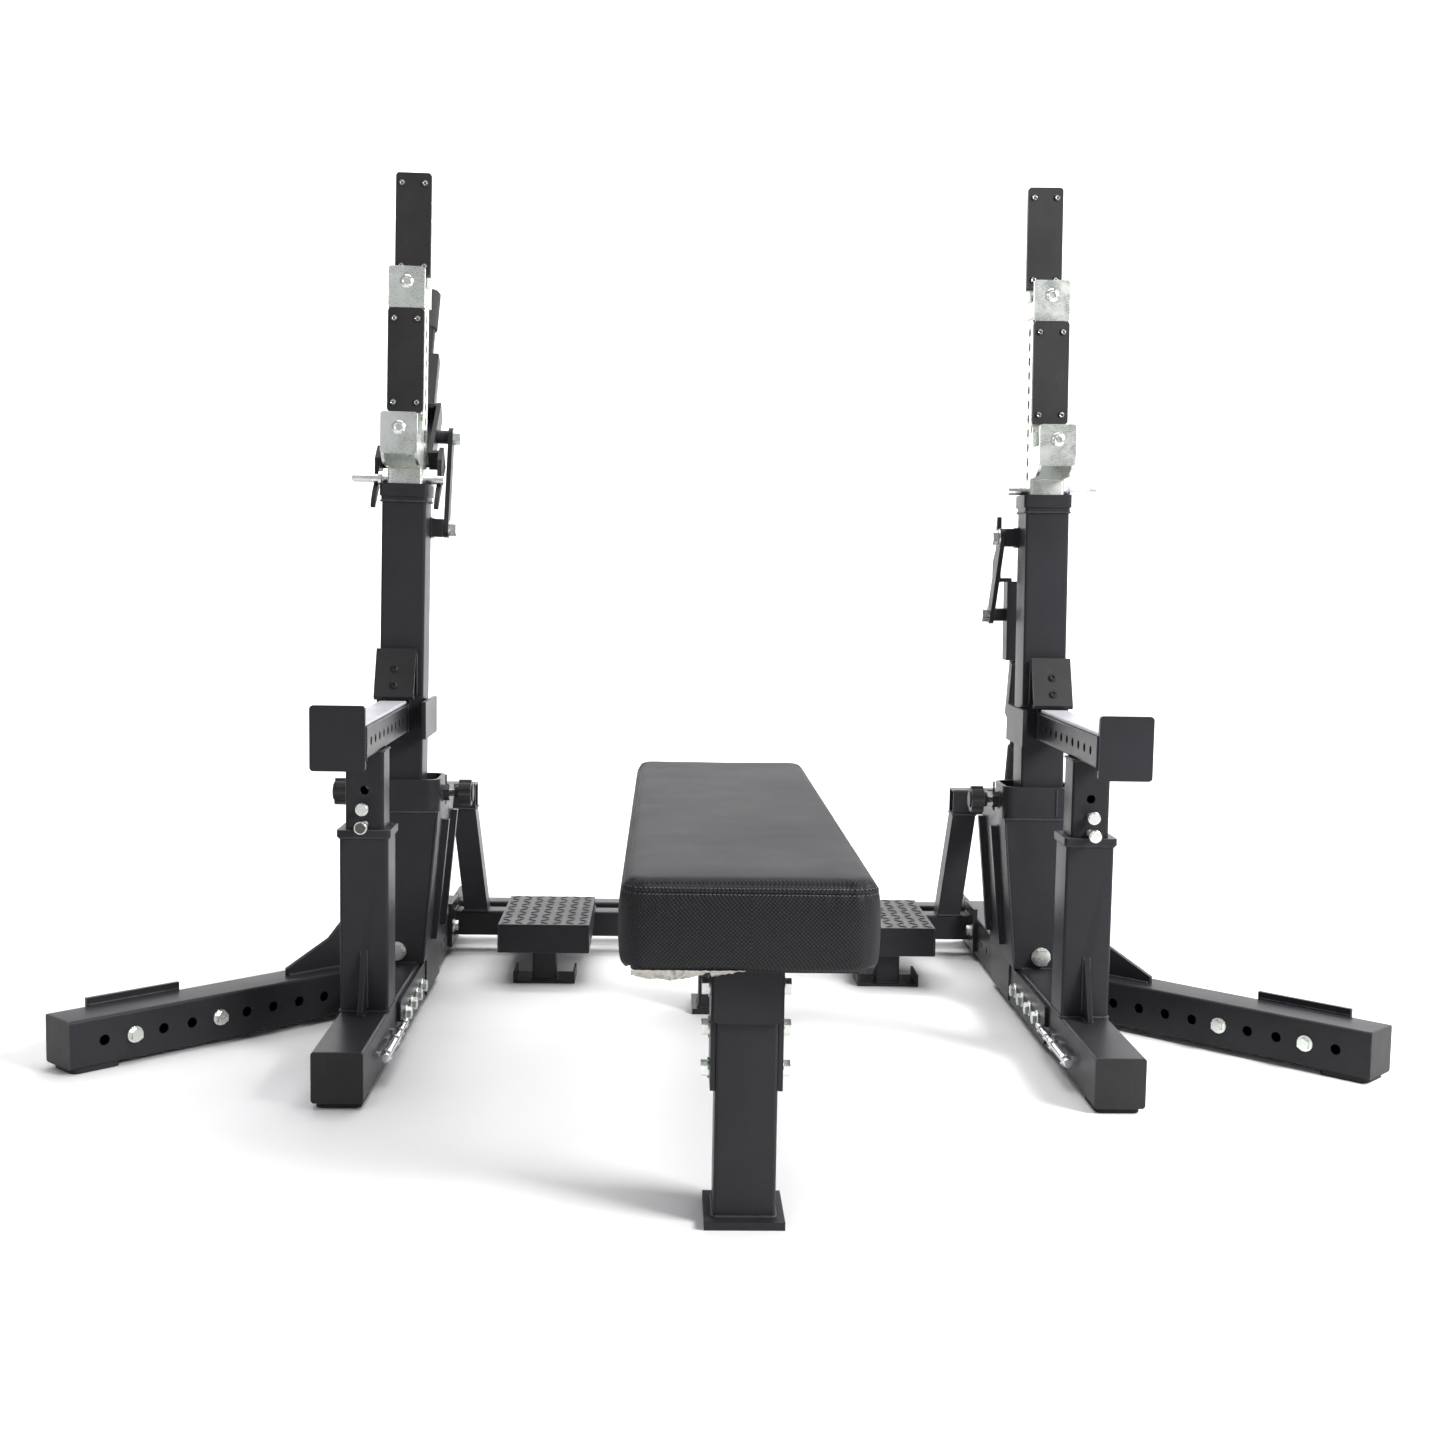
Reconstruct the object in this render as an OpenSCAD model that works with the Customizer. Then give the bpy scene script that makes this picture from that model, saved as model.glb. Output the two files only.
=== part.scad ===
// Competition bench press rack: a free-standing flat bench inside a rack with two
// telescoping uprights, double bar hooks, jack levers and adjustable safety arms.
// Origin: floor level, on the middle plane, at the front ends of the base rails.
// +X is to the right seen from the foot end of the bench, +Y to the back, +Z up.

/* [Frame] */
// outside size of the square steel tube
tube = 76; // [60:1:90]
// wall of the square steel tube
tube_wall = 3; // [2:0.5:5]
// distance from the middle plane to the middle of a base rail
rail_x = 571; // [500:1:640]
// length of a base rail
rail_length = 1190; // [1000:10:1400]
// height of the rubber feet under the rails
foot_height = 9; // [5:1:15]
// size of the smaller square tube of the rear frame
rear_tube = 50; // [40:1:60]
// front face of the front rear-crossmember
cross_front_y = 1030; // [900:5:1100]
// clear gap between the two crossmembers
cross_gap = 50; // [30:5:80]
// height of the underside of the upper rear rails
rear_rail_z = 294; // [250:1:340]

/* [Front post] */
// middle of the front post along the rail
post_y = 266; // [200:1:350]
// height of the top of the front post
post_top = 374; // [300:1:450]

/* [Column] */
// middle of the column along the rail
column_y = 616; // [550:1:700]
// height of the top of the column guide
column_top = 925; // [800:1:1000]
// height of the pivot bolt that the column leans on
pivot_z = 107; // [95:1:150]
// lean of the column towards the bench
column_lean = 0.75; // [0:0.05:2]
// diameter of the pivot bolt
pivot_d = 20; // [16:1:24]

/* [Upright and hooks] */
// outside size of the telescoping inner tube
inner_tube = 60; // [50:1:65]
// height of the top of the inner tube
inner_top = 1232; // [1100:1:1400]
// pitch of the height holes
hole_pitch = 25; // [20:1:50]
// diameter of the lock pin
pin_d = 16; // [12:1:20]
// gap between the lip and the guard plate of a hook
hook_gap = 60; // [45:1:80]
// height of a guard plate above the hook
hook_plate_height = 182; // [120:1:220]

/* [Jack lever] */
// distance between the two pivots of the link
link_length = 170; // [120:1:220]
// lever length from its pivot to the end of the grip
lever_length = 355; // [300:5:400]
// angle of a raised lever above the horizontal
lever_rise = 40; // [20:1:60]
// turn from the raised lever to the stowed lever
stow_turn = 130; // [100:1:150]

/* [Safety arm] */
// height of the underside of the arm
arm_z = 497; // [450:1:600]
// height and width of the arm bar
arm_size = 50; // [40:1:60]
// front end of the arm
arm_front_y = 95; // [40:5:150]

/* [Bench] */
// width of the pad
pad_width = 306; // [290:1:320]
// length of the pad
pad_length = 1220; // [1200:5:1300]
// thickness of the pad
pad_thickness = 100; // [60:1:120]
// height of the top of the pad
pad_top = 430; // [420:1:450]
// front end of the pad
pad_front_y = -480; // [-600:5:-300]

/* [Hidden] */
// half way between the front of the pad and the back of the end caps
middle_y = 356.5;
clear = 0.3;
run_gap = 0.05;
half = tube / 2;
rail_top = foot_height + tube;
rail_mid_z = foot_height + half;
inner_half = inner_tube / 2;
inner_wall = 4;
inner_bottom = 500;
plate = 8;
thin_plate = 6;
pin_z = column_top + pin_d / 2 + clear;
// housing around the foot of the column
housing_front = column_y - half - 16;
housing_back = column_y + half + 16;
housing_top = 354;
housing_low_x = 523;
housing_high_x = 499;
housing_outer = rail_x + half + 9;
splice_end = 608;
side_plate_back = 790;
knob_z = 382;
knob_rod_d = 12;
strap_top = 411;
// rear frame
cross_bottom = rail_top - rear_tube;
rear_cross_y = cross_front_y + rear_tube + cross_gap;
cross_bolt_y = [cross_front_y - 23, rear_cross_y - 16];
cross_bolt_z = 60;
hoop_foot_x = 458;
hoop_head_x = 484;
// hooks
hook_width = 62;
hook_plate = 8;
pad_plate = 10;
lip_height = 70;
lip_drop = 8;
axle_drop = 26;
roller_length = hook_gap - 2;
roller_axle_d = 12;
upper_lip_y = column_y - inner_half - hook_plate;
lower_lip_y = column_y - inner_half - pad_plate - hook_gap - hook_plate;
upper_lip_z = inner_top - lip_drop;
lower_lip_z = 972;
// jack lever, in the plane across the bench
boss_y = 665;
boss_z = 851;
rise_up = 74;
jack_y = boss_y + link_length * cos(rise_up);
jack_z = boss_z + link_length * sin(rise_up);
arm_plate_in = 50.5;
arm_plate_out = 58.5;
jack_bolt_d = 16;
link_out = 68;
// bench
bench_tube = 76;
bench_leg_y = pad_front_y + 40;
bench_back_leg_y = 560;
board_thickness = 12;
spine_top = pad_top - pad_thickness - board_thickness;

black = [0.10, 0.10, 0.11];
zinc = [0.72, 0.71, 0.66];
rubber = [0.05, 0.05, 0.05];
vinyl = [0.13, 0.13, 0.14];
chrome = [0.85, 0.86, 0.88];

// which sub-part to draw

// ---------- helpers ----------
// moves the object so that its middle stands over the origin
module centred() {
  translate([0, -middle_y, 0])
    children();
}

module on_side(side) {
  mirror([side < 0 ? 1 : 0, 0, 0])
    children();
}

module both_sides() {
  for (side = [-1, 1])
    on_side(side)
      children();
}

// turns a column part about the pivot bolt by the lean
module leaned() {
  translate([rail_x, 0, pivot_z])
    rotate([0, -column_lean, 0])
      translate([-rail_x, 0, -pivot_z])
        children();
}

// turns a jack part about the boss by an angle
module jack_turn(angle) {
  translate([0, boss_y, boss_z])
    rotate([angle, 0, 0])
      translate([0, -boss_y, -boss_z])
        children();
}

module box(low, high) {
  translate(low)
    cube([high[0] - low[0], high[1] - low[1], high[2] - low[2]]);
}

module rod_x(x0, x1, y, z, d) {
  translate([x0, y, z])
    rotate([0, 90, 0])
      cylinder(h = x1 - x0, d = d, $fn = 48);
}

module rod_y(y0, y1, x, z, d) {
  translate([x, y0, z])
    rotate([-90, 0, 0])
      cylinder(h = y1 - y0, d = d, $fn = 48);
}

module rod_z(z0, z1, x, y, d) {
  translate([x, y, z0])
    cylinder(h = z1 - z0, d = d, $fn = 48);
}

module hex_x(x0, x1, y, z, d) {
  translate([x0, y, z])
    rotate([0, 90, 0])
      cylinder(h = x1 - x0, d = d, $fn = 6);
}

module hex_y(y0, y1, x, z, d) {
  translate([x, y0, z])
    rotate([-90, 0, 0])
      cylinder(h = y1 - y0, d = d, $fn = 6);
}

// flat outline in the plane across X, with thickness along X
module side_sheet(x0, thick, outline) {
  translate([x0, 0, 0])
    rotate([90, 0, 90])
      linear_extrude(thick)
        polygon(outline);
}

// flat outline in the front plane, with thickness along Y
module front_sheet(y0, thick, outline) {
  translate([0, y0 + thick, 0])
    rotate([90, 0, 0])
      linear_extrude(thick)
        polygon(outline);
}

// square with rounded corners
module soft_square(width, height, radius) {
  translate([-width / 2 + radius, -height / 2])
    square([width - 2 * radius, height]);
  translate([-width / 2, -height / 2 + radius])
    square([width, height - 2 * radius]);
  for (sx = [-1, 1])
    for (sy = [-1, 1])
      translate([sx * (width / 2 - radius), sy * (height / 2 - radius)])
        circle(r = radius, $fn = 32);
}

module tube_shape(size, wall) {
  difference() {
    soft_square(size, size, 5);
    soft_square(size - 2 * wall, size - 2 * wall, 2);
  }
}

// hollow square tube along Z
module tube_z(x, y, z0, z1, size, wall) {
  translate([x, y, z0])
    linear_extrude(z1 - z0)
      tube_shape(size, wall);
}

// hollow square tube along Y
module tube_y(x, z, y0, y1, size, wall) {
  translate([x, y1, z])
    rotate([90, 0, 0])
      linear_extrude(y1 - y0)
        tube_shape(size, wall);
}

// hollow square tube along X
module tube_x(y, z, x0, x1, size, wall) {
  translate([x0, y, z])
    rotate([90, 0, 90])
      linear_extrude(x1 - x0)
        tube_shape(size, wall);
}

// ---------- base frame ----------
rail_hole_pitch = 50;
rail_hole_d = 12;
rail_hole_y = 830;

module base_rail() {
  difference() {
    tube_y(rail_x, rail_mid_z, 0, rail_length, tube, tube_wall);
    for (i = [0 : 3])
      rod_x(rail_x - half - 1, rail_x + half + 1, rail_hole_y + i * rail_hole_pitch,
        rail_mid_z, rail_hole_d);
    for (y = splice_bolt_y)
      rod_x(rail_x - half - 1, rail_x, y, rail_mid_z, frame_bolt_hole);
    for (y = cross_bolt_y)
      rod_x(rail_x - half - 1, rail_x, y, cross_bolt_z, frame_bolt_hole);
    for (y = leg_flange_bolt_y)
      rod_x(rail_x, rail_x + half + 1, y, rail_mid_z, frame_bolt_hole);
  }
}

module base_rail_left() {
  centred() color(black) on_side(-1) base_rail();
}

module base_rail_right() {
  centred() color(black) on_side(1) base_rail();
}

cap_lip = 3;
cap_plug = 12;

// push-in plastic cap, closing a tube that ends at y = 0
module tube_cap() {
  plug = tube - 2 * tube_wall - 2 * clear;
  rotate([90, 0, 0])
    linear_extrude(cap_lip)
      soft_square(tube, tube, 5);
  translate([0, cap_plug, 0])
    rotate([90, 0, 0])
      linear_extrude(cap_plug + 1)
        soft_square(plug, plug, 3);
}

module tube_caps() {
  centred() color(rubber) both_sides() {
    translate([rail_x, 0, rail_mid_z])
      tube_cap();
    translate([rail_x, rail_length, rail_mid_z])
      rotate([0, 0, 180])
        tube_cap();
    at_leg()
      translate([0, -leg_length, 0])
        tube_cap();
  }
}

foot_inset = 5;

module rubber_foot(x, y, length) {
  translate([x, y, 0])
    linear_extrude(foot_height - clear / 3)
      soft_square(tube - 2 * foot_inset, length, 12);
}

module rubber_feet() {
  centred() color(rubber) both_sides() {
    rubber_foot(rail_x, 45, 80);
    rubber_foot(rail_x, rail_length - 45, 80);
    at_leg()
      translate([0, 0, -rail_mid_z])
        rubber_foot(0, -leg_length + 45, 80);
  }
}

// ---------- outer stabiliser legs ----------
leg_length = 585;
leg_root_y = 591;
leg_flange_front = 102;
leg_flange_back = 88;
leg_flange_bolt_y = [leg_root_y - 84, leg_root_y + 70];
leg_flange_low = 14;
leg_hole_first = 130;
leg_hole_d = 17;
function leg_hole_at(i) = -leg_hole_first - i * rail_hole_pitch;
leg_hole_count = 9;
// holes of the leg, counted from its root, that hold a bolt
leg_bolt_holes = [4, 7];

// frame of a leg: middle of its root, running out and forward
module at_leg() {
  translate([rail_x + half + thin_plate, leg_root_y, rail_mid_z])
    rotate([0, 0, 45])
      children();
}

module stabiliser_leg() {
  difference() {
    union() {
      difference() {
        at_leg()
          tube_y(0, 0, -leg_length, 70, tube, tube_wall);
        box([0, 0, 0], [rail_x + half + thin_plate - 1, rail_length, rail_top + 10]);
      }
      box([rail_x + half + clear / 3, leg_root_y - leg_flange_front, leg_flange_low],
        [rail_x + half + thin_plate, leg_root_y + leg_flange_back, rail_top]);
      // stepped gusset standing on the leg
      at_leg()
        side_sheet(-plate / 2, plate, [[-9, half - 1], [-180, half - 1], [-180, half + 12],
          [-150, half + 26], [-95, half + 52], [-45, half + 100], [-14, half + 112], [-9, half + 112]]);
      // flat bar along the back of the leg
      at_leg()
        box([half - 1, -520, half - 18], [half + thin_plate, -360, half + 12]);
    }
    for (i = [0 : leg_hole_count - 1])
      at_leg()
        rod_x(-half - 1, half - tube_wall - 1, leg_hole_at(i), 0, leg_hole_d);
    for (y = leg_flange_bolt_y)
      rod_x(rail_x + half, rail_x + half + 10, y, rail_mid_z, frame_bolt_hole);
  }
}

module stabiliser_leg_left() {
  centred() color(black) on_side(-1) stabiliser_leg();
}

module stabiliser_leg_right() {
  centred() color(black) on_side(1) stabiliser_leg();
}

// ---------- splice plates, bolts, spare pins ----------
splice_length = 290;
splice_bolt_y = [370, 432, 494, 556];
frame_bolt_d = 12;
frame_bolt_hole = 12.5;
bolt_head = 21;
bolt_head_height = 8;
washer_d = 26;
washer_height = 2.5;

module splice_plates() {
  centred() color(black) both_sides()
    difference() {
      translate([rail_x - half - thin_plate, splice_end - splice_length / 2, rail_mid_z])
        rotate([90, 0, 90])
          linear_extrude(thin_plate - clear / 3)
            soft_square(splice_length, 66, 10);
      for (y = splice_bolt_y)
        rod_x(rail_x - half - thin_plate - 1, rail_x - half + 1, y, rail_mid_z, frame_bolt_hole);
    }
}

// bolt along X: head, washer and shank; the head is at x, pointing to +X
module bolt_x(x, y, z, shank) {
  rod_x(x, x + washer_height, y, z, washer_d);
  hex_x(x + washer_height, x + washer_height + bolt_head_height, y, z, bolt_head);
  rod_x(x - shank, x, y, z, frame_bolt_d);
}

module frame_bolts() {
  centred() color(zinc) both_sides() {
    for (y = splice_bolt_y)
      translate([2 * (rail_x - half - thin_plate), 0, 0])
        mirror([1, 0, 0])
          bolt_x(rail_x - half - thin_plate + clear / 3, y, rail_mid_z, 20);
    for (i = leg_bolt_holes)
      at_leg()
        translate([0, leg_hole_at(i), 0])
          mirror([1, 0, 0])
            bolt_x(half + clear / 3, 0, 0, 60);
    for (y = leg_flange_bolt_y)
      bolt_x(rail_x + half + thin_plate + clear / 3, y, rail_mid_z, 15);
    for (y = cross_bolt_y)
      translate([2 * (rail_x - half), 0, 0])
        mirror([1, 0, 0])
          bolt_x(rail_x - half + plate + clear / 3, y, cross_bolt_z, 20);
  }
}

spare_pin_z = 44;
spare_pin_x = rail_x - half - 13;

module spare_pins() {
  centred() color(chrome) both_sides() {
    rod_y(110, 235, spare_pin_x, spare_pin_z, 14);
    rod_y(245, 330, spare_pin_x, spare_pin_z, 10);
  }
}

// spring clip screwed to the rail, open towards the bench
module pin_clip(y, d) {
  difference() {
    rod_y(y - 6, y + 6, spare_pin_x, spare_pin_z, d + 5);
    rod_y(y - 7, y + 7, spare_pin_x, spare_pin_z, d + 2 * run_gap);
    box([spare_pin_x - d, y - 7, spare_pin_z - d / 3], [spare_pin_x, y + 7, spare_pin_z + d / 3]);
  }
  box([spare_pin_x + d / 2 + 1, y - 6, spare_pin_z - 4],
    [rail_x - half - clear / 3, y + 6, spare_pin_z + 4]);
}

module pin_clips() {
  centred() color(chrome) both_sides() {
    pin_clip(130, 14);
    pin_clip(215, 14);
    pin_clip(265, 10);
    pin_clip(312, 10);
  }
}

// ---------- front posts ----------
post_flange = 84;
post_flange_height = 12;
post_rib_top = 186;
post_rib_reach = 38;

module front_post() {
  tube_z(rail_x, post_y, rail_top, post_top, tube, tube_wall);
  difference() {
    translate([rail_x, post_y, post_top - post_flange_height])
      linear_extrude(post_flange_height)
        soft_square(post_flange, post_flange, 6);
    translate([rail_x, post_y, 0])
      linear_extrude(post_top + 1)
        soft_square(inner_tube + 1, inner_tube + 1, 5.5);
  }
  front = post_y - half;
  side_sheet(rail_x - plate / 2, plate, [[front + 1, rail_top], [front - post_rib_reach, rail_top],
    [front - post_rib_reach, rail_top + 8], [front, post_rib_top], [front + 1, post_rib_top]]);
}

module front_post_left() {
  centred() color(black) on_side(-1) front_post();
}

module front_post_right() {
  centred() color(black) on_side(1) front_post();
}

// ---------- column housing with its adjusting strap ----------
module housing() {
  front_outline = [[housing_low_x, rail_top], [housing_outer, rail_top],
    [housing_outer, housing_top], [housing_high_x, housing_top]];
  difference() {
    union() {
      front_sheet(housing_front, plate, front_outline);
      front_sheet(housing_back - plate, plate, front_outline);
    }
    rod_y(housing_front - 1, housing_back + 1, rail_x, pivot_z, pivot_d + 2 * run_gap);
  }
  box([housing_outer - thin_plate, housing_front, rail_top],
    [housing_outer, housing_back, housing_top]);
  // thick leaning plate on the bench side, stepped up behind the strap
  intersection() {
    side_sheet(rail_x - 110, 120, [[housing_front, 15], [side_plate_back, 15],
      [side_plate_back, 360], [side_plate_back - 18, 378], [housing_back + 30, 378],
      [housing_back + 4, housing_top], [housing_front + 4, housing_top], [housing_front, 346]]);
    union() {
      front_sheet(housing_front, side_plate_back - housing_front, [[housing_low_x, rail_top],
        [housing_low_x + plate, rail_top],
        [housing_high_x + plate - 3, 380], [housing_high_x - 3, 380]]);
      box([rail_x - half - plate, splice_end + 4, 0],
        [rail_x - half - clear / 3, side_plate_back, rail_top + 4]);
    }
  }
  // two upright stiffeners on the bench side
  for (y = [640, side_plate_back - 24])
    front_sheet(y, 14, [[housing_low_x + 2, 112], [housing_low_x - 12, 112],
      [housing_high_x - 10, 330], [housing_high_x + 6, 330]]);
  // guide strap around the column, with a threaded boss for each knob
  difference() {
    union() {
      translate([(housing_high_x + housing_outer) / 2 + 2, column_y, housing_top - 1])
        linear_extrude(strap_top - housing_top + 1)
          difference() {
            soft_square(housing_outer - housing_high_x + 8, housing_back - housing_front, 22);
            soft_square(housing_outer - housing_high_x - 5, housing_back - housing_front - 13, 16);
          }
      hex_x(housing_high_x - 14, housing_high_x + 3, column_y, knob_z, 28);
      hex_x(housing_outer + 3, housing_outer + 14, column_y, knob_z, 28);
    }
    rod_x(housing_high_x - 30, housing_outer + 30, column_y, knob_z, knob_rod_d + 2 * run_gap);
  }
}

module housing_left() {
  centred() color(black) on_side(-1) housing();
}

module housing_right() {
  centred() color(black) on_side(1) housing();
}

pivot_head = 30;
pivot_washer = 34;

module pivot_bolts() {
  centred() color(zinc) both_sides() {
    front = housing_front - clear / 3;
    back = housing_back + clear / 3;
    rod_y(front, back, rail_x, pivot_z, pivot_d);
    rod_y(front - 3, front, rail_x, pivot_z, pivot_washer);
    hex_y(front - 15, front - 3, rail_x, pivot_z, pivot_head);
    rod_y(back, back + 3, rail_x, pivot_z, pivot_washer);
    hex_y(back + 3, back + 17, rail_x, pivot_z, pivot_head);
  }
}

// ---------- rear frame ----------
module rear_hoop() {
  mid = cross_front_y + rear_tube / 2;
  rail_z = rear_rail_z + rear_tube / 2;
  centred() color(black) {
    tube_x(mid, cross_bottom + rear_tube / 2, -rail_x + half + plate, rail_x - half - plate,
      rear_tube, tube_wall);
    both_sides() {
      // bolted flange against the base rail
      difference() {
        box([rail_x - half - plate, cross_front_y - 42, 20],
          [rail_x - half - clear / 3, cross_front_y + rear_tube + 14, rail_top + 22]);
        rod_x(rail_x - half - plate - 1, rail_x - half + 1, cross_bolt_y[0], cross_bolt_z,
          frame_bolt_hole);
      }
      // leaning leg of the hoop
      front_sheet(cross_front_y, rear_tube, [[hoop_foot_x, rail_top - 1],
        [hoop_foot_x + rear_tube - 3, rail_top - 1], [hoop_head_x + rear_tube - 3, rear_rail_z + 1],
        [hoop_head_x, rear_rail_z + 1]]);
      // top of the hoop going out, then the rail running forward to the housing
      tube_x(mid, rail_z, hoop_head_x, rail_x + rear_tube / 2, rear_tube, tube_wall);
      tube_y(rail_x, rail_z, housing_back + clear / 3, cross_front_y + 1, rear_tube, tube_wall);
    }
  }
}

module rear_crossmember() {
  mid = rear_cross_y + rear_tube / 2;
  centred() color(black) {
    tube_x(mid, cross_bottom + rear_tube / 2, -rail_x + half + plate, rail_x - half - plate,
      rear_tube, tube_wall);
    both_sides()
      difference() {
        box([rail_x - half - plate, rear_cross_y - 30, 20],
          [rail_x - half - clear / 3, rear_cross_y + rear_tube + 8, rail_top + 22]);
        rod_x(rail_x - half - plate - 1, rail_x - half + 1, cross_bolt_y[1], cross_bolt_z,
          frame_bolt_hole);
      }
  }
}

// ---------- spotter platforms ----------
platform_in = 241;
platform_out = 411;
platform_front_y = 750;
platform_top = 117;
platform_skirt = 54;
platform_sheet = 4;
platform_post_y = 800;
tread_pitch = 30;

module platform() {
  back = cross_front_y - clear;
  mid_x = (platform_in + platform_out) / 2;
  skirt_z = platform_top - platform_skirt;
  difference() {
    box([platform_in, platform_front_y, skirt_z], [platform_out, back, platform_top]);
    box([platform_in + platform_sheet, platform_front_y + platform_sheet, skirt_z - 1],
      [platform_out - platform_sheet, back + 1, platform_top - platform_sheet]);
  }
  // lip that rests on the crossmember
  box([platform_in, back - 1, rail_top + clear], [platform_out, back + 46, rail_top + clear + platform_sheet]);
  box([platform_in, back - 4, rail_top + clear], [platform_out, back, platform_top - 1]);
  tube_z(mid_x, platform_post_y, platform_sheet, platform_top - 2, 45, tube_wall);
  // open foot folded from flat bar
  box([mid_x - 58, platform_post_y - 30, 0], [mid_x + 58, platform_post_y + 50, platform_sheet + 1]);
  for (x = [mid_x - 58, mid_x + 54])
    box([x, platform_post_y - 30, 0], [x + platform_sheet, platform_post_y + 50, 22]);
}

module platform_left() {
  centred() color(black) on_side(-1) platform();
}

module platform_right() {
  centred() color(black) on_side(1) platform();
}

// ---------- column ----------
column_bottom = 92;
guide_size = 84;
guide_height = 22;
boss_in = 38.5;
boss_out = 59.5;

module column() {
  leaned() {
    difference() {
      tube_z(rail_x, column_y, column_bottom, column_top, tube, tube_wall);
      rod_y(column_y - half - 1, column_y + half + 1, rail_x, pivot_z, pivot_d + 2 * run_gap);
    }
    difference() {
      union() {
        translate([rail_x, column_y, column_top - guide_height])
          linear_extrude(guide_height)
            soft_square(guide_size, guide_size, 7);
        translate([rail_x, column_y, column_top - guide_height - 8])
          linear_extrude(8)
            soft_square(tube + 3, tube + 3, 6);
      }
      translate([rail_x, column_y, 0])
        linear_extrude(column_top + 1)
          soft_square(inner_tube + 0.6, inner_tube + 0.6, 5.3);
    }
    // boss that carries the link of the jack lever
    difference() {
      union() {
        box([rail_x - boss_in - 2, boss_y - 32, boss_z - 16], [rail_x - half + 1, boss_y - 12, boss_z + 16]);
        box([rail_x - boss_out, boss_y - 24, boss_z - 16], [rail_x - half, boss_y + 14, boss_z + 16]);
      }
      rod_x(rail_x - boss_out - 1, rail_x - half + 1, boss_y, boss_z, jack_bolt_d + 2 * run_gap);
      box([rail_x - half + 0.01, column_y, boss_z - 20], [rail_x, column_y + 20, boss_z + 20]);
    }
  }
}

module column_left() {
  centred() color(black) on_side(-1) column();
}

module column_right() {
  centred() color(black) on_side(1) column();
}

// ---------- jack lever ----------
link_width = 34;

module link_part() {
  leaned() {
    translate([rail_x - link_out, boss_y, boss_z])
      rotate([90, 0, 90])
        linear_extrude(link_out - boss_out - clear)
          rotate(rise_up) {
            circle(d = link_width, $fn = 48);
            translate([link_length, 0])
              circle(d = link_width, $fn = 48);
            translate([0, -link_width / 2 + 2])
              square([link_length, link_width - 4]);
          }
    // pins through the boss and through the lever, with nuts
    link_pin(boss_y, boss_z, rail_x - half - 2);
    link_pin(jack_y, jack_z, rail_x - box_half + 10);
    rod_x(rail_x - boss_out - 1, rail_x - box_half - clear, jack_y, jack_z, 24);
  }
}

module link_pin(y, z, pin_end) {
  rod_x(rail_x - link_out - 4, pin_end, y, z, jack_bolt_d);
  rod_x(rail_x - link_out - 3, rail_x - link_out + 1, y, z, 30);
  hex_x(rail_x - link_out - 13, rail_x - link_out - 2, y, z, 27);
}

// the right-hand jack is drawn stowed, the left-hand one raised
module link_left() {
  centred() color(black) on_side(-1) link_part();
}

module link_right() {
  centred() color(black) on_side(1) leaned_turn(-stow_turn) link_part();
}

// turns an already leaned jack part about the boss
module leaned_turn(angle) {
  leaned()
    jack_turn(angle)
      translate([rail_x, 0, pivot_z])
        rotate([0, column_lean, 0])
          translate([-rail_x, 0, -pivot_z])
            children();
}

lever_plate_width = 44;
lever_reach = 180;
lever_neck = -60;
lever_tail = 84;
box_half = 38;
box_back = 16;
lever_bend = 20;
beam_width = 50;
beam_depth = 32;
beam_end = 120;
handle_d = 25;
grip_d = 32;
grip_length = 88;

// frame of the bent end of the lever, running out along +Y
module at_bend() {
  translate([0, lever_tail - 5, -3])
    rotate([lever_bend, 0, 0])
      children();
}

// the lever lies along +Y from its pivot, before it is raised
module lever_body() {
  low = -lever_plate_width / 2;
  side_thick = plate;
  for (side = [-1, 1]) {
    // fork arm, shoulder and side of the box
    box([min(side * arm_plate_in, side * arm_plate_out), -lever_reach, low],
      [max(side * arm_plate_in, side * arm_plate_out), lever_neck, -low]);
    box([min(side * (box_half - side_thick), side * arm_plate_out), lever_neck - plate, low],
      [max(side * (box_half - side_thick), side * arm_plate_out), lever_neck - 1, box_back]);
    box([min(side * (box_half - side_thick), side * box_half), lever_neck - 3, low],
      [max(side * (box_half - side_thick), side * box_half), lever_tail, box_back - 1]);
  }
  box([-box_half + 1, lever_neck - 2, low], [box_half - 1, lever_tail - 1, low + thin_plate]);
  box([-box_half + 1, lever_tail - plate, low + 1], [box_half - 1, lever_tail - 0.5, box_back - 2]);
  at_bend() {
    translate([0, beam_end, 0])
      rotate([90, 0, 0])
        linear_extrude(beam_end)
          soft_square(beam_width, beam_depth, 4);
    rod_y(beam_end - 1, lever_length - lever_tail - 6, 0, 0, handle_d);
  }
}

// open step above the lock pin; its floor follows the pin's path as the link swings
module pin_step(x0) {
  step_y = column_y + pin_d / 2 + clear;
  pin_path = norm([pin_z - boss_z, column_y - boss_y]);
  floor_r = pin_path - pin_d / 2 - clear;
  wall_angle = 180 - acos((boss_y - step_y) / floor_r);
  side_sheet(x0 - 1, 12, concat(
    [for (i = [0 : 8])
      let (angle = wall_angle + i * (195 - wall_angle) / 8)
        [boss_y + floor_r * cos(angle), boss_z + floor_r * sin(angle)]],
    [[column_y - 110, boss_z - 20], [column_y - 110, pin_z + 90], [step_y, pin_z + 90]]));
}

module lever() {
  leaned()
    difference() {
      translate([rail_x, jack_y, jack_z])
        rotate([lever_rise, 0, 0])
          lever_body();
      pin_step(rail_x - arm_plate_out - 1);
      pin_step(rail_x + arm_plate_in - 1);
      rod_x(rail_x - link_out - 10, rail_x - box_half + 12, jack_y, jack_z,
        jack_bolt_d + 2 * run_gap);
    }
}

module lever_left() {
  centred() color(black) on_side(-1) lever();
}

module lever_right() {
  centred() color(black) on_side(1) leaned_turn(-stow_turn) lever();
}

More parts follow.
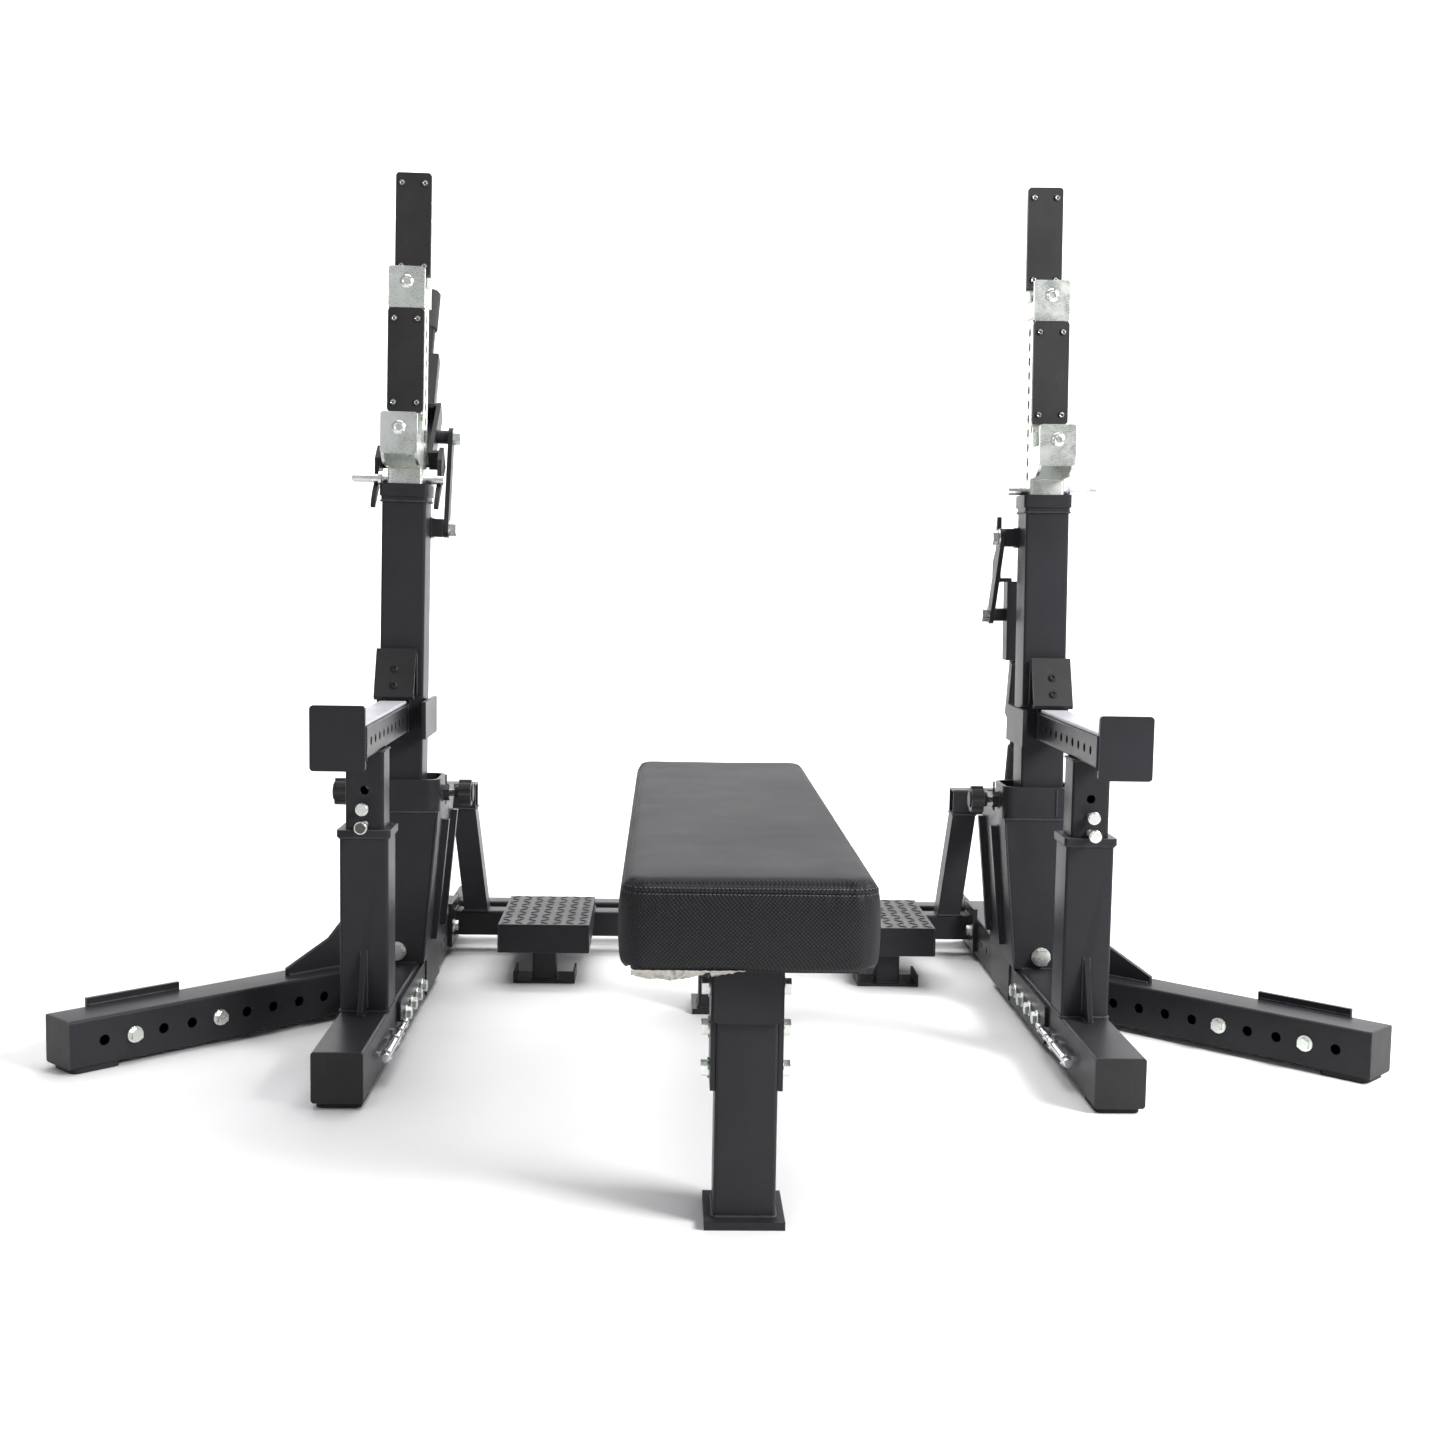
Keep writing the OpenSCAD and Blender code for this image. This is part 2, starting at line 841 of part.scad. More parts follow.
module grip() {
  leaned()
    translate([rail_x, jack_y, jack_z])
      rotate([lever_rise, 0, 0])
        at_bend()
          translate([0, lever_length - lever_tail - grip_length, 0])
            rotate([-90, 0, 0])
              rotate_extrude($fn = 48)
                polygon([[handle_d / 2 + clear / 3, 0], [grip_d / 2 - 2, 0], [grip_d / 2, 3],
                  [grip_d / 2, grip_length - 5], [grip_d / 2 - 4, grip_length], [0, grip_length],
                  [0, grip_length - 5], [handle_d / 2 + clear / 3, grip_length - 5]]);
}

module grip_left() {
  centred() color(rubber) on_side(-1) grip();
}

module grip_right() {
  centred() color(rubber) on_side(1) leaned_turn(-stow_turn) grip();
}

// ---------- telescoping upright ----------
hole_below = 16;
hole_above = 11;

module upright_tube() {
  leaned()
    difference() {
      tube_z(rail_x, column_y, inner_bottom, inner_top, inner_tube, inner_wall);
      for (i = [-hole_below : hole_above])
        rod_x(rail_x - inner_half - 1, rail_x + inner_half + 1, column_y, pin_z + i * hole_pitch,
          pin_d + 2 * run_gap);
    }
}

module inner_tube_left() {
  centred() color(zinc) on_side(-1) upright_tube();
}

module inner_tube_right() {
  centred() color(zinc) on_side(1) upright_tube();
}

// one hook: front lip, floor, back plate and two cheeks; y0 is the front of the lip
module hook(y0, z0, back_height, curl) {
  x0 = rail_x - hook_width / 2;
  x1 = rail_x + hook_width / 2;
  axle_z = z0 + lip_height - axle_drop;
  back_y = y0 + hook_plate + hook_gap + pad_plate;
  difference() {
    union() {
      translate([rail_x, y0 + hook_plate, z0 + lip_height / 2])
        rotate([90, 0, 0])
          linear_extrude(hook_plate)
            soft_square(hook_width, lip_height, 5);
      box([x0, y0 + 1, z0 + 8], [x1, back_y, z0 + 15]);
      for (x = [x0, x1 - 5])
        side_sheet(x, 5, curl);
      if (back_height > 0)
        box([x0, back_y, z0 + 8], [x1, back_y + hook_plate, z0 + back_height]);
    }
    rod_y(y0 - 1, y0 + hook_plate + 1, rail_x, axle_z, roller_axle_d + 2 * run_gap);
  }
}

module hooks() {
  gap_y = hook_plate + hook_gap + pad_plate;
  color(zinc) leaned() {
    // upper hook, standing on the end of the tube
    hook(upper_lip_y, upper_lip_z, hook_plate_height + 50, [[upper_lip_y + 3, upper_lip_z + 8],
      [upper_lip_y + gap_y + 2, upper_lip_z + 8], [upper_lip_y + gap_y + 2, upper_lip_z + 60],
      [upper_lip_y + gap_y - 12, upper_lip_z + 60], [upper_lip_y + gap_y - 24, upper_lip_z + 34],
      [upper_lip_y + 3, upper_lip_z + 34]]);
    // lower hook, welded to the front of the tube
    hook(lower_lip_y, lower_lip_z, 0, [[lower_lip_y + 3, lower_lip_z + 10],
      [lower_lip_y + 12, lower_lip_z - 6], [lower_lip_y + 30, lower_lip_z - 16],
      [lower_lip_y + gap_y, lower_lip_z - 20], [lower_lip_y + gap_y, lower_lip_z + 60],
      [lower_lip_y + gap_y - 12, lower_lip_z + 60], [lower_lip_y + gap_y - 24, lower_lip_z + 34],
      [lower_lip_y + 3, lower_lip_z + 34]]);
  }
}

module hooks_left() {
  centred() on_side(-1) hooks();
}

module hooks_right() {
  centred() on_side(1) hooks();
}

upper_pad_z = upper_lip_z + 62;
lower_pad_z = lower_lip_z + 73;

module hook_plate_block(front, low) {
  translate([rail_x, front + pad_plate, low + hook_plate_height / 2 - 1])
    rotate([90, 0, 0])
      linear_extrude(pad_plate - clear / 3)
        soft_square(hook_width, hook_plate_height - 6, 6);
}

module hook_plates() {
  color(rubber) leaned()
    difference() {
      union() {
        hook_plate_block(upper_lip_y + hook_plate + hook_gap, upper_pad_z);
        hook_plate_block(lower_lip_y + hook_plate + hook_gap, lower_pad_z);
      }
      screw_places()
        rod_y(-5, 40, 0, 0, 6.4);
    }
}

module hook_plates_left() {
  centred() on_side(-1) hook_plates();
}

module hook_plates_right() {
  centred() on_side(1) hook_plates();
}

// front of each plate screw, four to a plate
module screw_places() {
  for (sx = [-20, 20])
    for (dz = [18, hook_plate_height - 22]) {
      translate([rail_x + sx, upper_lip_y + hook_plate + hook_gap, upper_pad_z + dz])
        children();
      translate([rail_x + sx, lower_lip_y + hook_plate + hook_gap, lower_pad_z + dz])
        children();
    }
}

// round-topped screw head, pointing to -Y
module screw_head(d, height) {
  rotate([90, 0, 0])
    rotate_extrude($fn = 40)
      polygon([[0, 0], [d / 2, 0], [d / 2 * 0.93, height * 0.45], [d / 2 * 0.7, height * 0.85],
        [d / 4, height], [d / 4, height * 0.35], [0, height * 0.35]]);
}

// screws of the guard plates and the screws that carry the rollers
module hook_screws() {
  color(zinc) leaned() {
    screw_places() {
      screw_head(12, 4);
      rod_y(-0.5, pad_plate - 1, 0, 0, 6);
    }
    for (place = [[upper_lip_y, upper_lip_z], [lower_lip_y, lower_lip_z]])
      translate([rail_x, place[0], place[1] + lip_height - axle_drop]) {
        screw_head(24, 4);
        rod_y(-0.5, hook_plate + hook_gap + pad_plate, 0, 0, roller_axle_d);
      }
  }
}

module hook_screws_left() {
  centred() on_side(-1) hook_screws();
}

module hook_screws_right() {
  centred() on_side(1) hook_screws();
}

roller_end_r = 17;
roller_waist_r = 12;
roller_bore_r = roller_axle_d / 2 + run_gap;

// hollow-waisted roller lying along Y
module roller(y0, z0) {
  leaned()
    translate([rail_x, y0 + hook_plate + 1, z0 + lip_height - axle_drop])
      rotate([-90, 0, 0])
        rotate_extrude($fn = 48)
          polygon([[roller_bore_r, 0], [roller_end_r, 0], [roller_end_r, 4], [roller_end_r - 3, 12],
            [roller_waist_r + 0.5, 22], [roller_waist_r, roller_length / 2],
            [roller_waist_r + 0.5, roller_length - 22], [roller_end_r - 3, roller_length - 12],
            [roller_end_r, roller_length - 4], [roller_end_r, roller_length],
            [roller_bore_r, roller_length]]);
}

module roller_upper_left() {
  centred() color(chrome) on_side(-1) roller(upper_lip_y, upper_lip_z);
}

module roller_upper_right() {
  centred() color(chrome) on_side(1) roller(upper_lip_y, upper_lip_z);
}

module roller_lower_left() {
  centred() color(chrome) on_side(-1) roller(lower_lip_y, lower_lip_z);
}

module roller_lower_right() {
  centred() color(chrome) on_side(1) roller(lower_lip_y, lower_lip_z);
}

pin_inner_end = 64;
pin_outer_end = 96;
pin_ring_at = 43;

module lock_pin() {
  leaned() {
    rod_x(rail_x - pin_inner_end, rail_x + pin_outer_end - 3, column_y, pin_z, pin_d);
    rod_x(rail_x + pin_outer_end - 3.5, rail_x + pin_outer_end, column_y, pin_z, pin_d - 3);
    rod_x(rail_x + pin_ring_at, rail_x + pin_ring_at + 6, column_y, pin_z, pin_d + 12);
  }
}

module lock_pin_left() {
  centred() color(zinc) on_side(-1) lock_pin();
}

module lock_pin_right() {
  centred() color(zinc) on_side(1) lock_pin();
}

// ---------- star knobs ----------
knob_lobes = 7;
knob_r = 24;
knob_thick = 22;
knob_travel_gap = 0.4;

// knob on a threaded rod along X; the rod tip is at x = 0, the head at +X
module star_knob(rod_length) {
  rod_x(0, rod_length + 2, 0, 0, knob_rod_d);
  translate([rod_length, 0, 0])
    rotate([0, 90, 0]) {
      cylinder(h = 8, d = 26, $fn = 40);
      translate([0, 0, 7])
        difference() {
          cylinder(h = knob_thick, r = knob_r, $fn = 56);
          for (i = [0 : knob_lobes - 1])
            rotate(i * 360 / knob_lobes)
              translate([knob_r + 3, 0, -1])
                cylinder(h = knob_thick + 2, r = 6.5, $fn = 32);
        }
      translate([0, 0, 7 + knob_thick - 1])
        cylinder(h = 4, d = 30, $fn = 40);
    }
}

// x of the inner and outer face of the leaning column at the knobs
column_shift = (knob_z - pivot_z) * tan(column_lean);
inner_face_x = rail_x - half / cos(column_lean) - column_shift;
outer_face_x = rail_x + half / cos(column_lean) - column_shift;

module knob_inner() {
  translate([inner_face_x - knob_travel_gap, column_y, knob_z])
    mirror([1, 0, 0])
      star_knob(54);
}

module knob_outer() {
  translate([outer_face_x + knob_travel_gap, column_y, knob_z])
    star_knob(52);
}

module knob_inner_left() {
  centred() color(rubber) on_side(-1) knob_inner();
}

module knob_inner_right() {
  centred() color(rubber) on_side(1) knob_inner();
}

module knob_outer_left() {
  centred() color(rubber) on_side(-1) knob_outer();
}

module knob_outer_right() {
  centred() color(rubber) on_side(1) knob_outer();
}

// ---------- safety arm ----------
arm_back_y = 524;
arm_post_bottom = 180;
arm_bolt_z = [381, 408];
arm_bolt_reach = [32, 20];
arm_hole_z = 435;
arm_hole_count = 9;
arm_hole_pitch = 40;
fork_x = 510;
fork_thick = 7;
fork_back_y = 632;

module safety_arm() {
  arm_top = arm_z + arm_size;
  arm_in = rail_x - arm_size / 2;
  arm_out = rail_x + arm_size / 2;
  difference() {
    union() {
      tube_z(rail_x, post_y, arm_post_bottom, arm_z + 1, inner_tube, inner_wall);
      tube_y(rail_x, arm_z + arm_size / 2, arm_front_y + 1, arm_back_y, arm_size, tube_wall);
      // end plate set off towards the outside
      translate([rail_x + 16, arm_front_y + plate, arm_z + arm_size / 2 + 8])
        rotate([90, 0, 0])
          linear_extrude(plate)
            soft_square(82, 98, 6);
    }
    for (i = [0 : arm_hole_count - 1])
      rod_x(arm_in - 1, arm_out + 1, 150 + i * arm_hole_pitch, arm_z + arm_size / 2, 14);
    rod_y(post_y - half, post_y + half, rail_x, arm_hole_z, 14);
    for (z = arm_bolt_z)
      rod_y(post_y - half, post_y + half, rail_x, z, frame_bolt_hole);
  }
  // plate across the front of the column, guide finger beside it and their brace
  front_sheet(arm_back_y + 42, thin_plate, [[fork_x + 1, arm_z - 6], [rail_x + 35, arm_z - 6],
    [rail_x + 35, 636], [rail_x - 35, 636], [rail_x - 35, arm_z + 60], [fork_x + 1, arm_z + 54]]);
  box([fork_x, arm_back_y - 36, arm_z - 7], [fork_x + fork_thick, fork_back_y, arm_top + 6]);
  for (x = [arm_in, arm_out - thin_plate])
    side_sheet(x, thin_plate, [[arm_back_y - 1, arm_z + 1], [arm_back_y + 43, arm_z + 1],
      [arm_back_y + 43, 628], [arm_back_y + 38, 628], [arm_back_y + 14, arm_top - 1],
      [arm_back_y - 1, arm_top - 1]]);
}

module safety_arm_left() {
  centred() color(black) on_side(-1) safety_arm();
}

module safety_arm_right() {
  centred() color(black) on_side(1) safety_arm();
}

guard_top = 640;
guard_low = 553;
guard_slope_y = 34;
guard_screw_z = [578, 606];

// bent bar guard, sloping forward above the end of the arm
module arm_guard() {
  top_y = arm_back_y + 36;
  low_y = top_y - guard_slope_y;
  difference() {
    side_sheet(rail_x - 34, 68, [[top_y + 5, guard_top], [top_y, guard_top],
      [low_y, guard_low + 6], [low_y + 3, guard_low], [top_y - 20, guard_low],
      [top_y - 20, guard_low + 6], [low_y + 8, guard_low + 7]]);
    for (z = guard_screw_z)
      rod_y(low_y - 20, top_y + 20, rail_x, z, 6.4);
  }
  for (z = guard_screw_z)
    translate([rail_x, low_y + (z - guard_low - 6) / (guard_top - guard_low - 6) * guard_slope_y, z])
      rotate([-22, 0, 0]) {
        screw_head(14, 4);
        rod_y(-0.5, 4, 0, 0, 6);
      }
}

module arm_guard_left() {
  centred() color(rubber) on_side(-1) arm_guard();
}

module arm_guard_right() {
  centred() color(rubber) on_side(1) arm_guard();
}

liner_height = 5;

module arm_liner() {
  translate([rail_x, arm_back_y - 2, arm_z + arm_size + clear / 3 + liner_height / 2])
    rotate([90, 0, 0])
      linear_extrude(arm_back_y - 2 - arm_front_y - plate - 2)
        soft_square(arm_size - 4, liner_height, 1.5);
}

module arm_liner_left() {
  centred() color(zinc) on_side(-1) arm_liner();
}

module arm_liner_right() {
  centred() color(zinc) on_side(1) arm_liner();
}

arm_head_d = 20;

module arm_bolts() {
  front = post_y - inner_half;
  back = post_y + inner_half;
  for (i = [0, 1]) {
    rod_y(front - arm_bolt_reach[i], back + 8, rail_x, arm_bolt_z[i], frame_bolt_d);
    // round head with a stepped edge
    head_front = front - arm_bolt_reach[i] - bolt_head_height;
    rod_y(head_front + 1.5, front - arm_bolt_reach[i] + 1, rail_x, arm_bolt_z[i], arm_head_d);
    rod_y(head_front, head_front + 2, rail_x, arm_bolt_z[i], arm_head_d - 3);
    hex_y(back - inner_wall - clear - 10, back - inner_wall - clear, rail_x, arm_bolt_z[i], bolt_head);
  }
}

module arm_bolts_left() {
  centred() color(zinc) on_side(-1) arm_bolts();
}

module arm_bolts_right() {
  centred() color(zinc) on_side(1) arm_bolts();
}

// ---------- bench ----------
bench_foot_width = 100;
bench_foot_depth = 110;
bench_foot_height = 10;
bench_side_plate_low = 166;
bench_cover_low = 250;
bench_cover_width = 82;
bench_bolt_z = [184, 235, 286];

module bench_leg(y, outward) {
  spine_bottom = spine_top - 60;
  tube_z(0, y + half, bench_foot_height - 1, spine_bottom, tube, tube_wall);
  box([-bench_foot_width / 2 + 1, y + half - 50 + outward * 5, 0],
    [bench_foot_width / 2 - 1, y + half + 60 + outward * 5, bench_foot_height]);
  // cover plate over the end of the spine
  translate([0, outward < 0 ? y + 1 : y + tube + thin_plate, (bench_cover_low + spine_top - 1) / 2])
    rotate([90, 0, 0])
      linear_extrude(thin_plate + 1)
        soft_square(bench_cover_width, spine_top - 1 - bench_cover_low, 8);
  for (side = [-1, 1])
    difference() {
      box([side > 0 ? half : -half - thin_plate, y + 2, bench_side_plate_low],
        [side > 0 ? half + thin_plate : -half, y + 74, spine_top - 1]);
      for (z = bench_bolt_z)
        rod_x(side * (half + 3) - 5, side * (half + 3) + 5, y + half, z, frame_bolt_hole);
    }
}

module bench_frame() {
  spine_mid = spine_top - 30;
  centred() color(black) {
    translate([0, bench_back_leg_y + tube, spine_mid])
      rotate([90, 0, 0])
        linear_extrude(bench_back_leg_y + tube - bench_leg_y)
          difference() {
            square([tube, 60], center = true);
            square([tube - 6, 54], center = true);
          }
    bench_leg(bench_leg_y, -1);
    bench_leg(bench_back_leg_y, 1);
    // cross bearers that the pad board is screwed to
    for (y = [bench_leg_y + 20, 130, bench_back_leg_y + 16])
      box([-120, y, spine_top - 6], [120, y + 40, spine_top]);
  }
}

module bench_bolts() {
  centred() color(zinc)
    for (y = [bench_leg_y, bench_back_leg_y])
      for (z = bench_bolt_z)
        both_sides()
          bolt_x(half + thin_plate + clear / 3, y + half, z, 5);
}

board_inset = 12;

module pad_board() {
  centred() color([0.62, 0.58, 0.50])
    translate([0, pad_front_y + pad_length / 2, spine_top + clear / 3])
      linear_extrude(board_thickness - 2 * clear / 3)
        soft_square(pad_width - 2 * board_inset, pad_length - 2 * board_inset, 20);
}

module bench_pad() {
  centred() color(vinyl)
    translate([0, pad_front_y + pad_length / 2, pad_top - pad_thickness + clear])
      linear_extrude(pad_thickness - clear)
        soft_square(pad_width, pad_length, 18);
}

// ---------- parts ----------
base_rail_left();
base_rail_right();
tube_caps();
rubber_feet();
front_post_left();
front_post_right();
housing_left();
housing_right();
stabiliser_leg_left();
stabiliser_leg_right();
rear_hoop();
rear_crossmember();
frame_bolts();
platform_left();
platform_right();
splice_plates();
spare_pins();
pin_clips();
pivot_bolts();
column_left();
column_right();
link_left();
link_right();
lever_left();
lever_right();
grip_left();
grip_right();
inner_tube_left();
inner_tube_right();
hooks_left();
hooks_right();
hook_plates_left();
hook_plates_right();
hook_screws_left();
hook_screws_right();
roller_upper_left();
roller_upper_right();
roller_lower_left();
roller_lower_right();
lock_pin_left();
lock_pin_right();
knob_inner_left();
knob_inner_right();
knob_outer_left();
knob_outer_right();
safety_arm_left();
safety_arm_right();
arm_guard_left();
arm_guard_right();
arm_liner_left();
arm_liner_right();
arm_bolts_left();
arm_bolts_right();
bench_frame();
pad_board();
bench_pad();
bench_bolts();
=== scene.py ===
import math

import bpy
import bmesh
from mathutils import Matrix, Vector, noise
from mathutils.bvhtree import BVHTree


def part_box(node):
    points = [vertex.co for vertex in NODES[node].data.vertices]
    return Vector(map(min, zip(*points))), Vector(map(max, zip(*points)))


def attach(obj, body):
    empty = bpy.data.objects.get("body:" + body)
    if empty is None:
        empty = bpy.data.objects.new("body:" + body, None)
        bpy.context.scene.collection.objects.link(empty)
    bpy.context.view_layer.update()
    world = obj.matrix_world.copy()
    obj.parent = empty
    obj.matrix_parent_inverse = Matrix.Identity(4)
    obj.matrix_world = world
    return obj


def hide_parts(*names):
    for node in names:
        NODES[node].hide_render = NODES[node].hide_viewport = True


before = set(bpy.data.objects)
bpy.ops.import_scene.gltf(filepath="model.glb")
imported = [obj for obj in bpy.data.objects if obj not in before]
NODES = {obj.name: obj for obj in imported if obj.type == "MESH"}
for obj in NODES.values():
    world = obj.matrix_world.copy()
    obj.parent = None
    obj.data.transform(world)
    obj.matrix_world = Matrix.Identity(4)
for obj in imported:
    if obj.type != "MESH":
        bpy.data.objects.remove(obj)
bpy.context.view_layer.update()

MM = 0.001
# everything is laid out from the front ends of the base rails, then moved forwards by this many metres
MIDDLE = 0.3565

# places of the right-hand unit, in mm
HALF = 38.0
RAIL_X = 571.0
RAIL_TOP = 85.0
POST_Y = 266.0
COLUMN_Y = 616.0
PIVOT_Z = 107.0
LEAN = math.radians(0.75)
# threaded rods of the knobs, and where they enter the knobs' heads
KNOB_Z, KNOB_ROD_R = 382.0, 6.3
KNOB_INNER_X, KNOB_OUTER_X = 470.0, 665.0
# stop bolts of the safety arm: heights, shank radius, and the front face of a head
ARM_BOLT_LOW, ARM_BOLT_HIGH, ARM_BOLT_R = 381.0, 408.0, 6.0
ARM_HEAD_R, ARM_HEAD_Y = 8.4, 230.0
# axles of the rollers, with the reach of their heads
ROLLER_LOW, ROLLER_HIGH, ROLLER_REACH = 1016.0, 1268.0, 14.0
# bench-side face of the link's bar
LINK_BAR_X = RAIL_X - 68.2


# ---------------------------------------------------------------- places
def place(p, side=1, lean=False):
    """A point of the right-hand unit, in mm, as a place on either side, in metres."""
    x, y, z = p
    if lean:
        dx, dz = x - RAIL_X, z - PIVOT_Z
        x = RAIL_X + dx * math.cos(LEAN) - dz * math.sin(LEAN)
        z = PIVOT_Z + dx * math.sin(LEAN) + dz * math.cos(LEAN)
    return Vector((side * x * MM, y * MM, z * MM))


# ---------------------------------------------------------------- materials
def start(name):
    """An empty material: its tree, its shader and the object coordinates, which need no UVs."""
    m = bpy.data.materials.new(name)
    m.use_nodes = True
    nt = m.node_tree
    nt.nodes.clear()
    out = nt.nodes.new("ShaderNodeOutputMaterial")
    b = nt.nodes.new("ShaderNodeBsdfPrincipled")
    nt.links.new(b.outputs[0], out.inputs[0])
    co = nt.nodes.new("ShaderNodeTexCoord")
    return m, nt, b, co.outputs["Object"]


def tex(nt, co, scale, detail=3.0, rough=0.5, stretch=None, distortion=0.0):
    """Noise, drawn out along the axes where stretch is small."""
    n = nt.nodes.new("ShaderNodeTexNoise")
    n.inputs["Scale"].default_value = scale
    n.inputs["Detail"].default_value = detail
    n.inputs["Roughness"].default_value = rough
    n.inputs["Distortion"].default_value = distortion
    if stretch:
        mp = nt.nodes.new("ShaderNodeMapping")
        mp.inputs["Scale"].default_value = stretch
        nt.links.new(co, mp.inputs[0])
        co = mp.outputs[0]
    nt.links.new(co, n.inputs["Vector"])
    return n.outputs["Fac"]


def ramp(nt, fac, stops):
    """Colour ramp over (position, colour) stops; a colour of one number is a grey."""
    r = nt.nodes.new("ShaderNodeValToRGB")
    while len(r.color_ramp.elements) < len(stops):
        r.color_ramp.elements.new(0.5)
    for e, (pos, col) in zip(r.color_ramp.elements, stops):
        e.position = pos
        e.color = (*col, 1) if len(col) == 3 else (col[0], col[0], col[0], 1)
    nt.links.new(fac, r.inputs[0])
    return r.outputs[0]


def span(nt, fac, low, high, a=0.3, b=0.7):
    """Maps a..b of a factor to low..high."""
    r = nt.nodes.new("ShaderNodeMapRange")
    r.inputs["From Min"].default_value = a
    r.inputs["From Max"].default_value = b
    r.inputs["To Min"].default_value = low
    r.inputs["To Max"].default_value = high
    nt.links.new(fac, r.inputs["Value"])
    return r.outputs[0]


def maths(nt, op, a, b=None):
    """One Math node over numbers or sockets."""
    n = nt.nodes.new("ShaderNodeMath")
    n.operation = op
    for i, v in enumerate((a, b)):
        if v is None:
            continue
        if isinstance(v, (int, float)):
            n.inputs[i].default_value = v
        else:
            nt.links.new(v, n.inputs[i])
    return n.outputs[0]


def mix(nt, fac, a, b):
    """Colour mix over numbers, colours or sockets."""
    n = nt.nodes.new("ShaderNodeMix")
    n.data_type = "RGBA"
    for sock, v in ((n.inputs[0], fac), (n.inputs[6], a), (n.inputs[7], b)):
        if isinstance(v, tuple):
            sock.default_value = (*v, 1)
        elif isinstance(v, float):
            sock.default_value = v
        else:
            nt.links.new(v, sock)
    return n.outputs[2]


def bump(nt, b, heights):
    """heights: (height, strength, distance in metres) from the coarse to the fine."""
    last = None
    for height, strength, dist in heights:
        n = nt.nodes.new("ShaderNodeBump")
        n.inputs["Strength"].default_value = strength
        n.inputs["Distance"].default_value = dist
        nt.links.new(height, n.inputs["Height"])
        if last:
            nt.links.new(last, n.inputs["Normal"])
        last = n.outputs[0]
    nt.links.new(last, b.inputs["Normal"])


def skin(b, weight, rough):
    """A thin clear skin that carries the highlights over a dull body."""
    b.inputs["Specular IOR Level"].default_value = 0.06
    b.inputs["Coat Weight"].default_value = weight
    b.inputs["Coat Roughness"].default_value = rough
    b.inputs["Coat IOR"].default_value = 1.5


def powder(name, base, light, dust, rough):
    """Satin powder coat: orange peel, fine grain, faint dust and scuffs."""
    m, nt, b, co = start(name)
    blotch = tex(nt, co, 5.0, 4.0, 0.6)
    grain = tex(nt, co, 1500.0, 2.0, 0.6)
    peel = tex(nt, co, 330.0, 2.0, 0.5)
    scuff = tex(nt, co, 60.0, 8.0, 0.75, (1.0, 0.35, 1.8), 1.2)
    col = ramp(nt, blotch, [(0.3, base), (0.7, light)])
    specks = ramp(nt, grain, [(0.60, (0.0,)), (0.78, (1.0,))])
    col = mix(nt, maths(nt, "MULTIPLY", specks, 0.35), col, dust)
    worn = ramp(nt, scuff, [(0.64, (0.0,)), (0.74, (1.0,))])
    col = mix(nt, maths(nt, "MULTIPLY", worn, 0.30), col, dust)
    nt.links.new(col, b.inputs["Base Color"])
    r = maths(nt, "ADD", span(nt, blotch, rough - 0.05, rough + 0.07),
              maths(nt, "MULTIPLY", worn, 0.12))
    nt.links.new(r, b.inputs["Roughness"])
    skin(b, 0.2, rough)
    bump(nt, b, [(peel, 0.16, 0.0005), (grain, 0.22, 0.00022)])
    return m


def plated(name, base, tint, rough, brushed=(1, 1, 14)):
    """Bright zinc plate with a thin coloured passivation film and drawing marks."""
    m, nt, b, co = start(name)
    cloud = tex(nt, co, 13.0, 5.0, 0.65, None, 0.8)
    fine = tex(nt, co, 420.0, 3.0, 0.6)
    lines = tex(nt, co, 150.0, 3.0, 0.6, brushed)
    col = ramp(nt, cloud, [(0.28, base), (0.5, tint), (0.62, base), (0.78, (0.60, 0.58, 0.62))])
    spots = ramp(nt, fine, [(0.66, (0.0,)), (0.76, (1.0,))])
    col = mix(nt, maths(nt, "MULTIPLY", spots, 0.4), col, (0.36, 0.34, 0.30))
    nt.links.new(col, b.inputs["Base Color"])
    b.inputs["Metallic"].default_value = 1.0
    r = maths(nt, "ADD", span(nt, cloud, rough - 0.07, rough + 0.09), span(nt, lines, -0.05, 0.07))
    nt.links.new(r, b.inputs["Roughness"])
    bump(nt, b, [(cloud, 0.12, 0.0004), (lines, 0.10, 0.0002), (fine, 0.08, 0.0001)])
    return m


def moulded(name, base, light, rough, grain_scale=900.0, strength=0.25, lines=None):
    """Moulded or machined plastic and rubber, with grain and handling marks."""
    m, nt, b, co = start(name)
    blotch = tex(nt, co, 9.0, 4.0, 0.6)
    grain = tex(nt, co, grain_scale, 2.0, 0.5)
    marks = tex(nt, co, 45.0, 7.0, 0.8, lines or (1.0, 1.0, 0.25), 1.0)
    col = ramp(nt, blotch, [(0.3, base), (0.7, light)])
    rub = ramp(nt, marks, [(0.60, (0.0,)), (0.72, (1.0,))])
    rubbed = tuple(min(1, c * 2.1 + 0.012) for c in light)
    col = mix(nt, maths(nt, "MULTIPLY", rub, 0.4), col, rubbed)
    nt.links.new(col, b.inputs["Base Color"])
    nt.links.new(span(nt, marks, rough - 0.06, rough + 0.12), b.inputs["Roughness"])
    skin(b, 0.4, rough)
    bump(nt, b, [(grain, strength, 0.0003), (marks, 0.10, 0.0003)])
    return m


def wave(nt, co, axis, scale, kind="SIN"):
    """Straight bands along an axis."""
    w = nt.nodes.new("ShaderNodeTexWave")
    w.wave_type = "BANDS"
    w.bands_direction = axis
    w.wave_profile = kind
    w.inputs["Scale"].default_value = scale
    w.inputs["Distortion"].default_value = 0.0
    w.inputs["Detail"].default_value = 0.0
    nt.links.new(co, w.inputs[0])
    return w.outputs["Fac"]


# the pad's weave: its raised diamonds are coloured lighter, a painted highlight; finer and fainter on
# the level top, which is polished by use
WEAVE_PITCH = 0.0050
DOT_HIGHLIGHT_SIDE, DOT_HIGHLIGHT_TOP = 0.55, 0.3
RELIEF_SIDE, RELIEF_TOP = 0.9, 0.35
COAT_SIDE, COAT_TOP = 0.20, 0.07


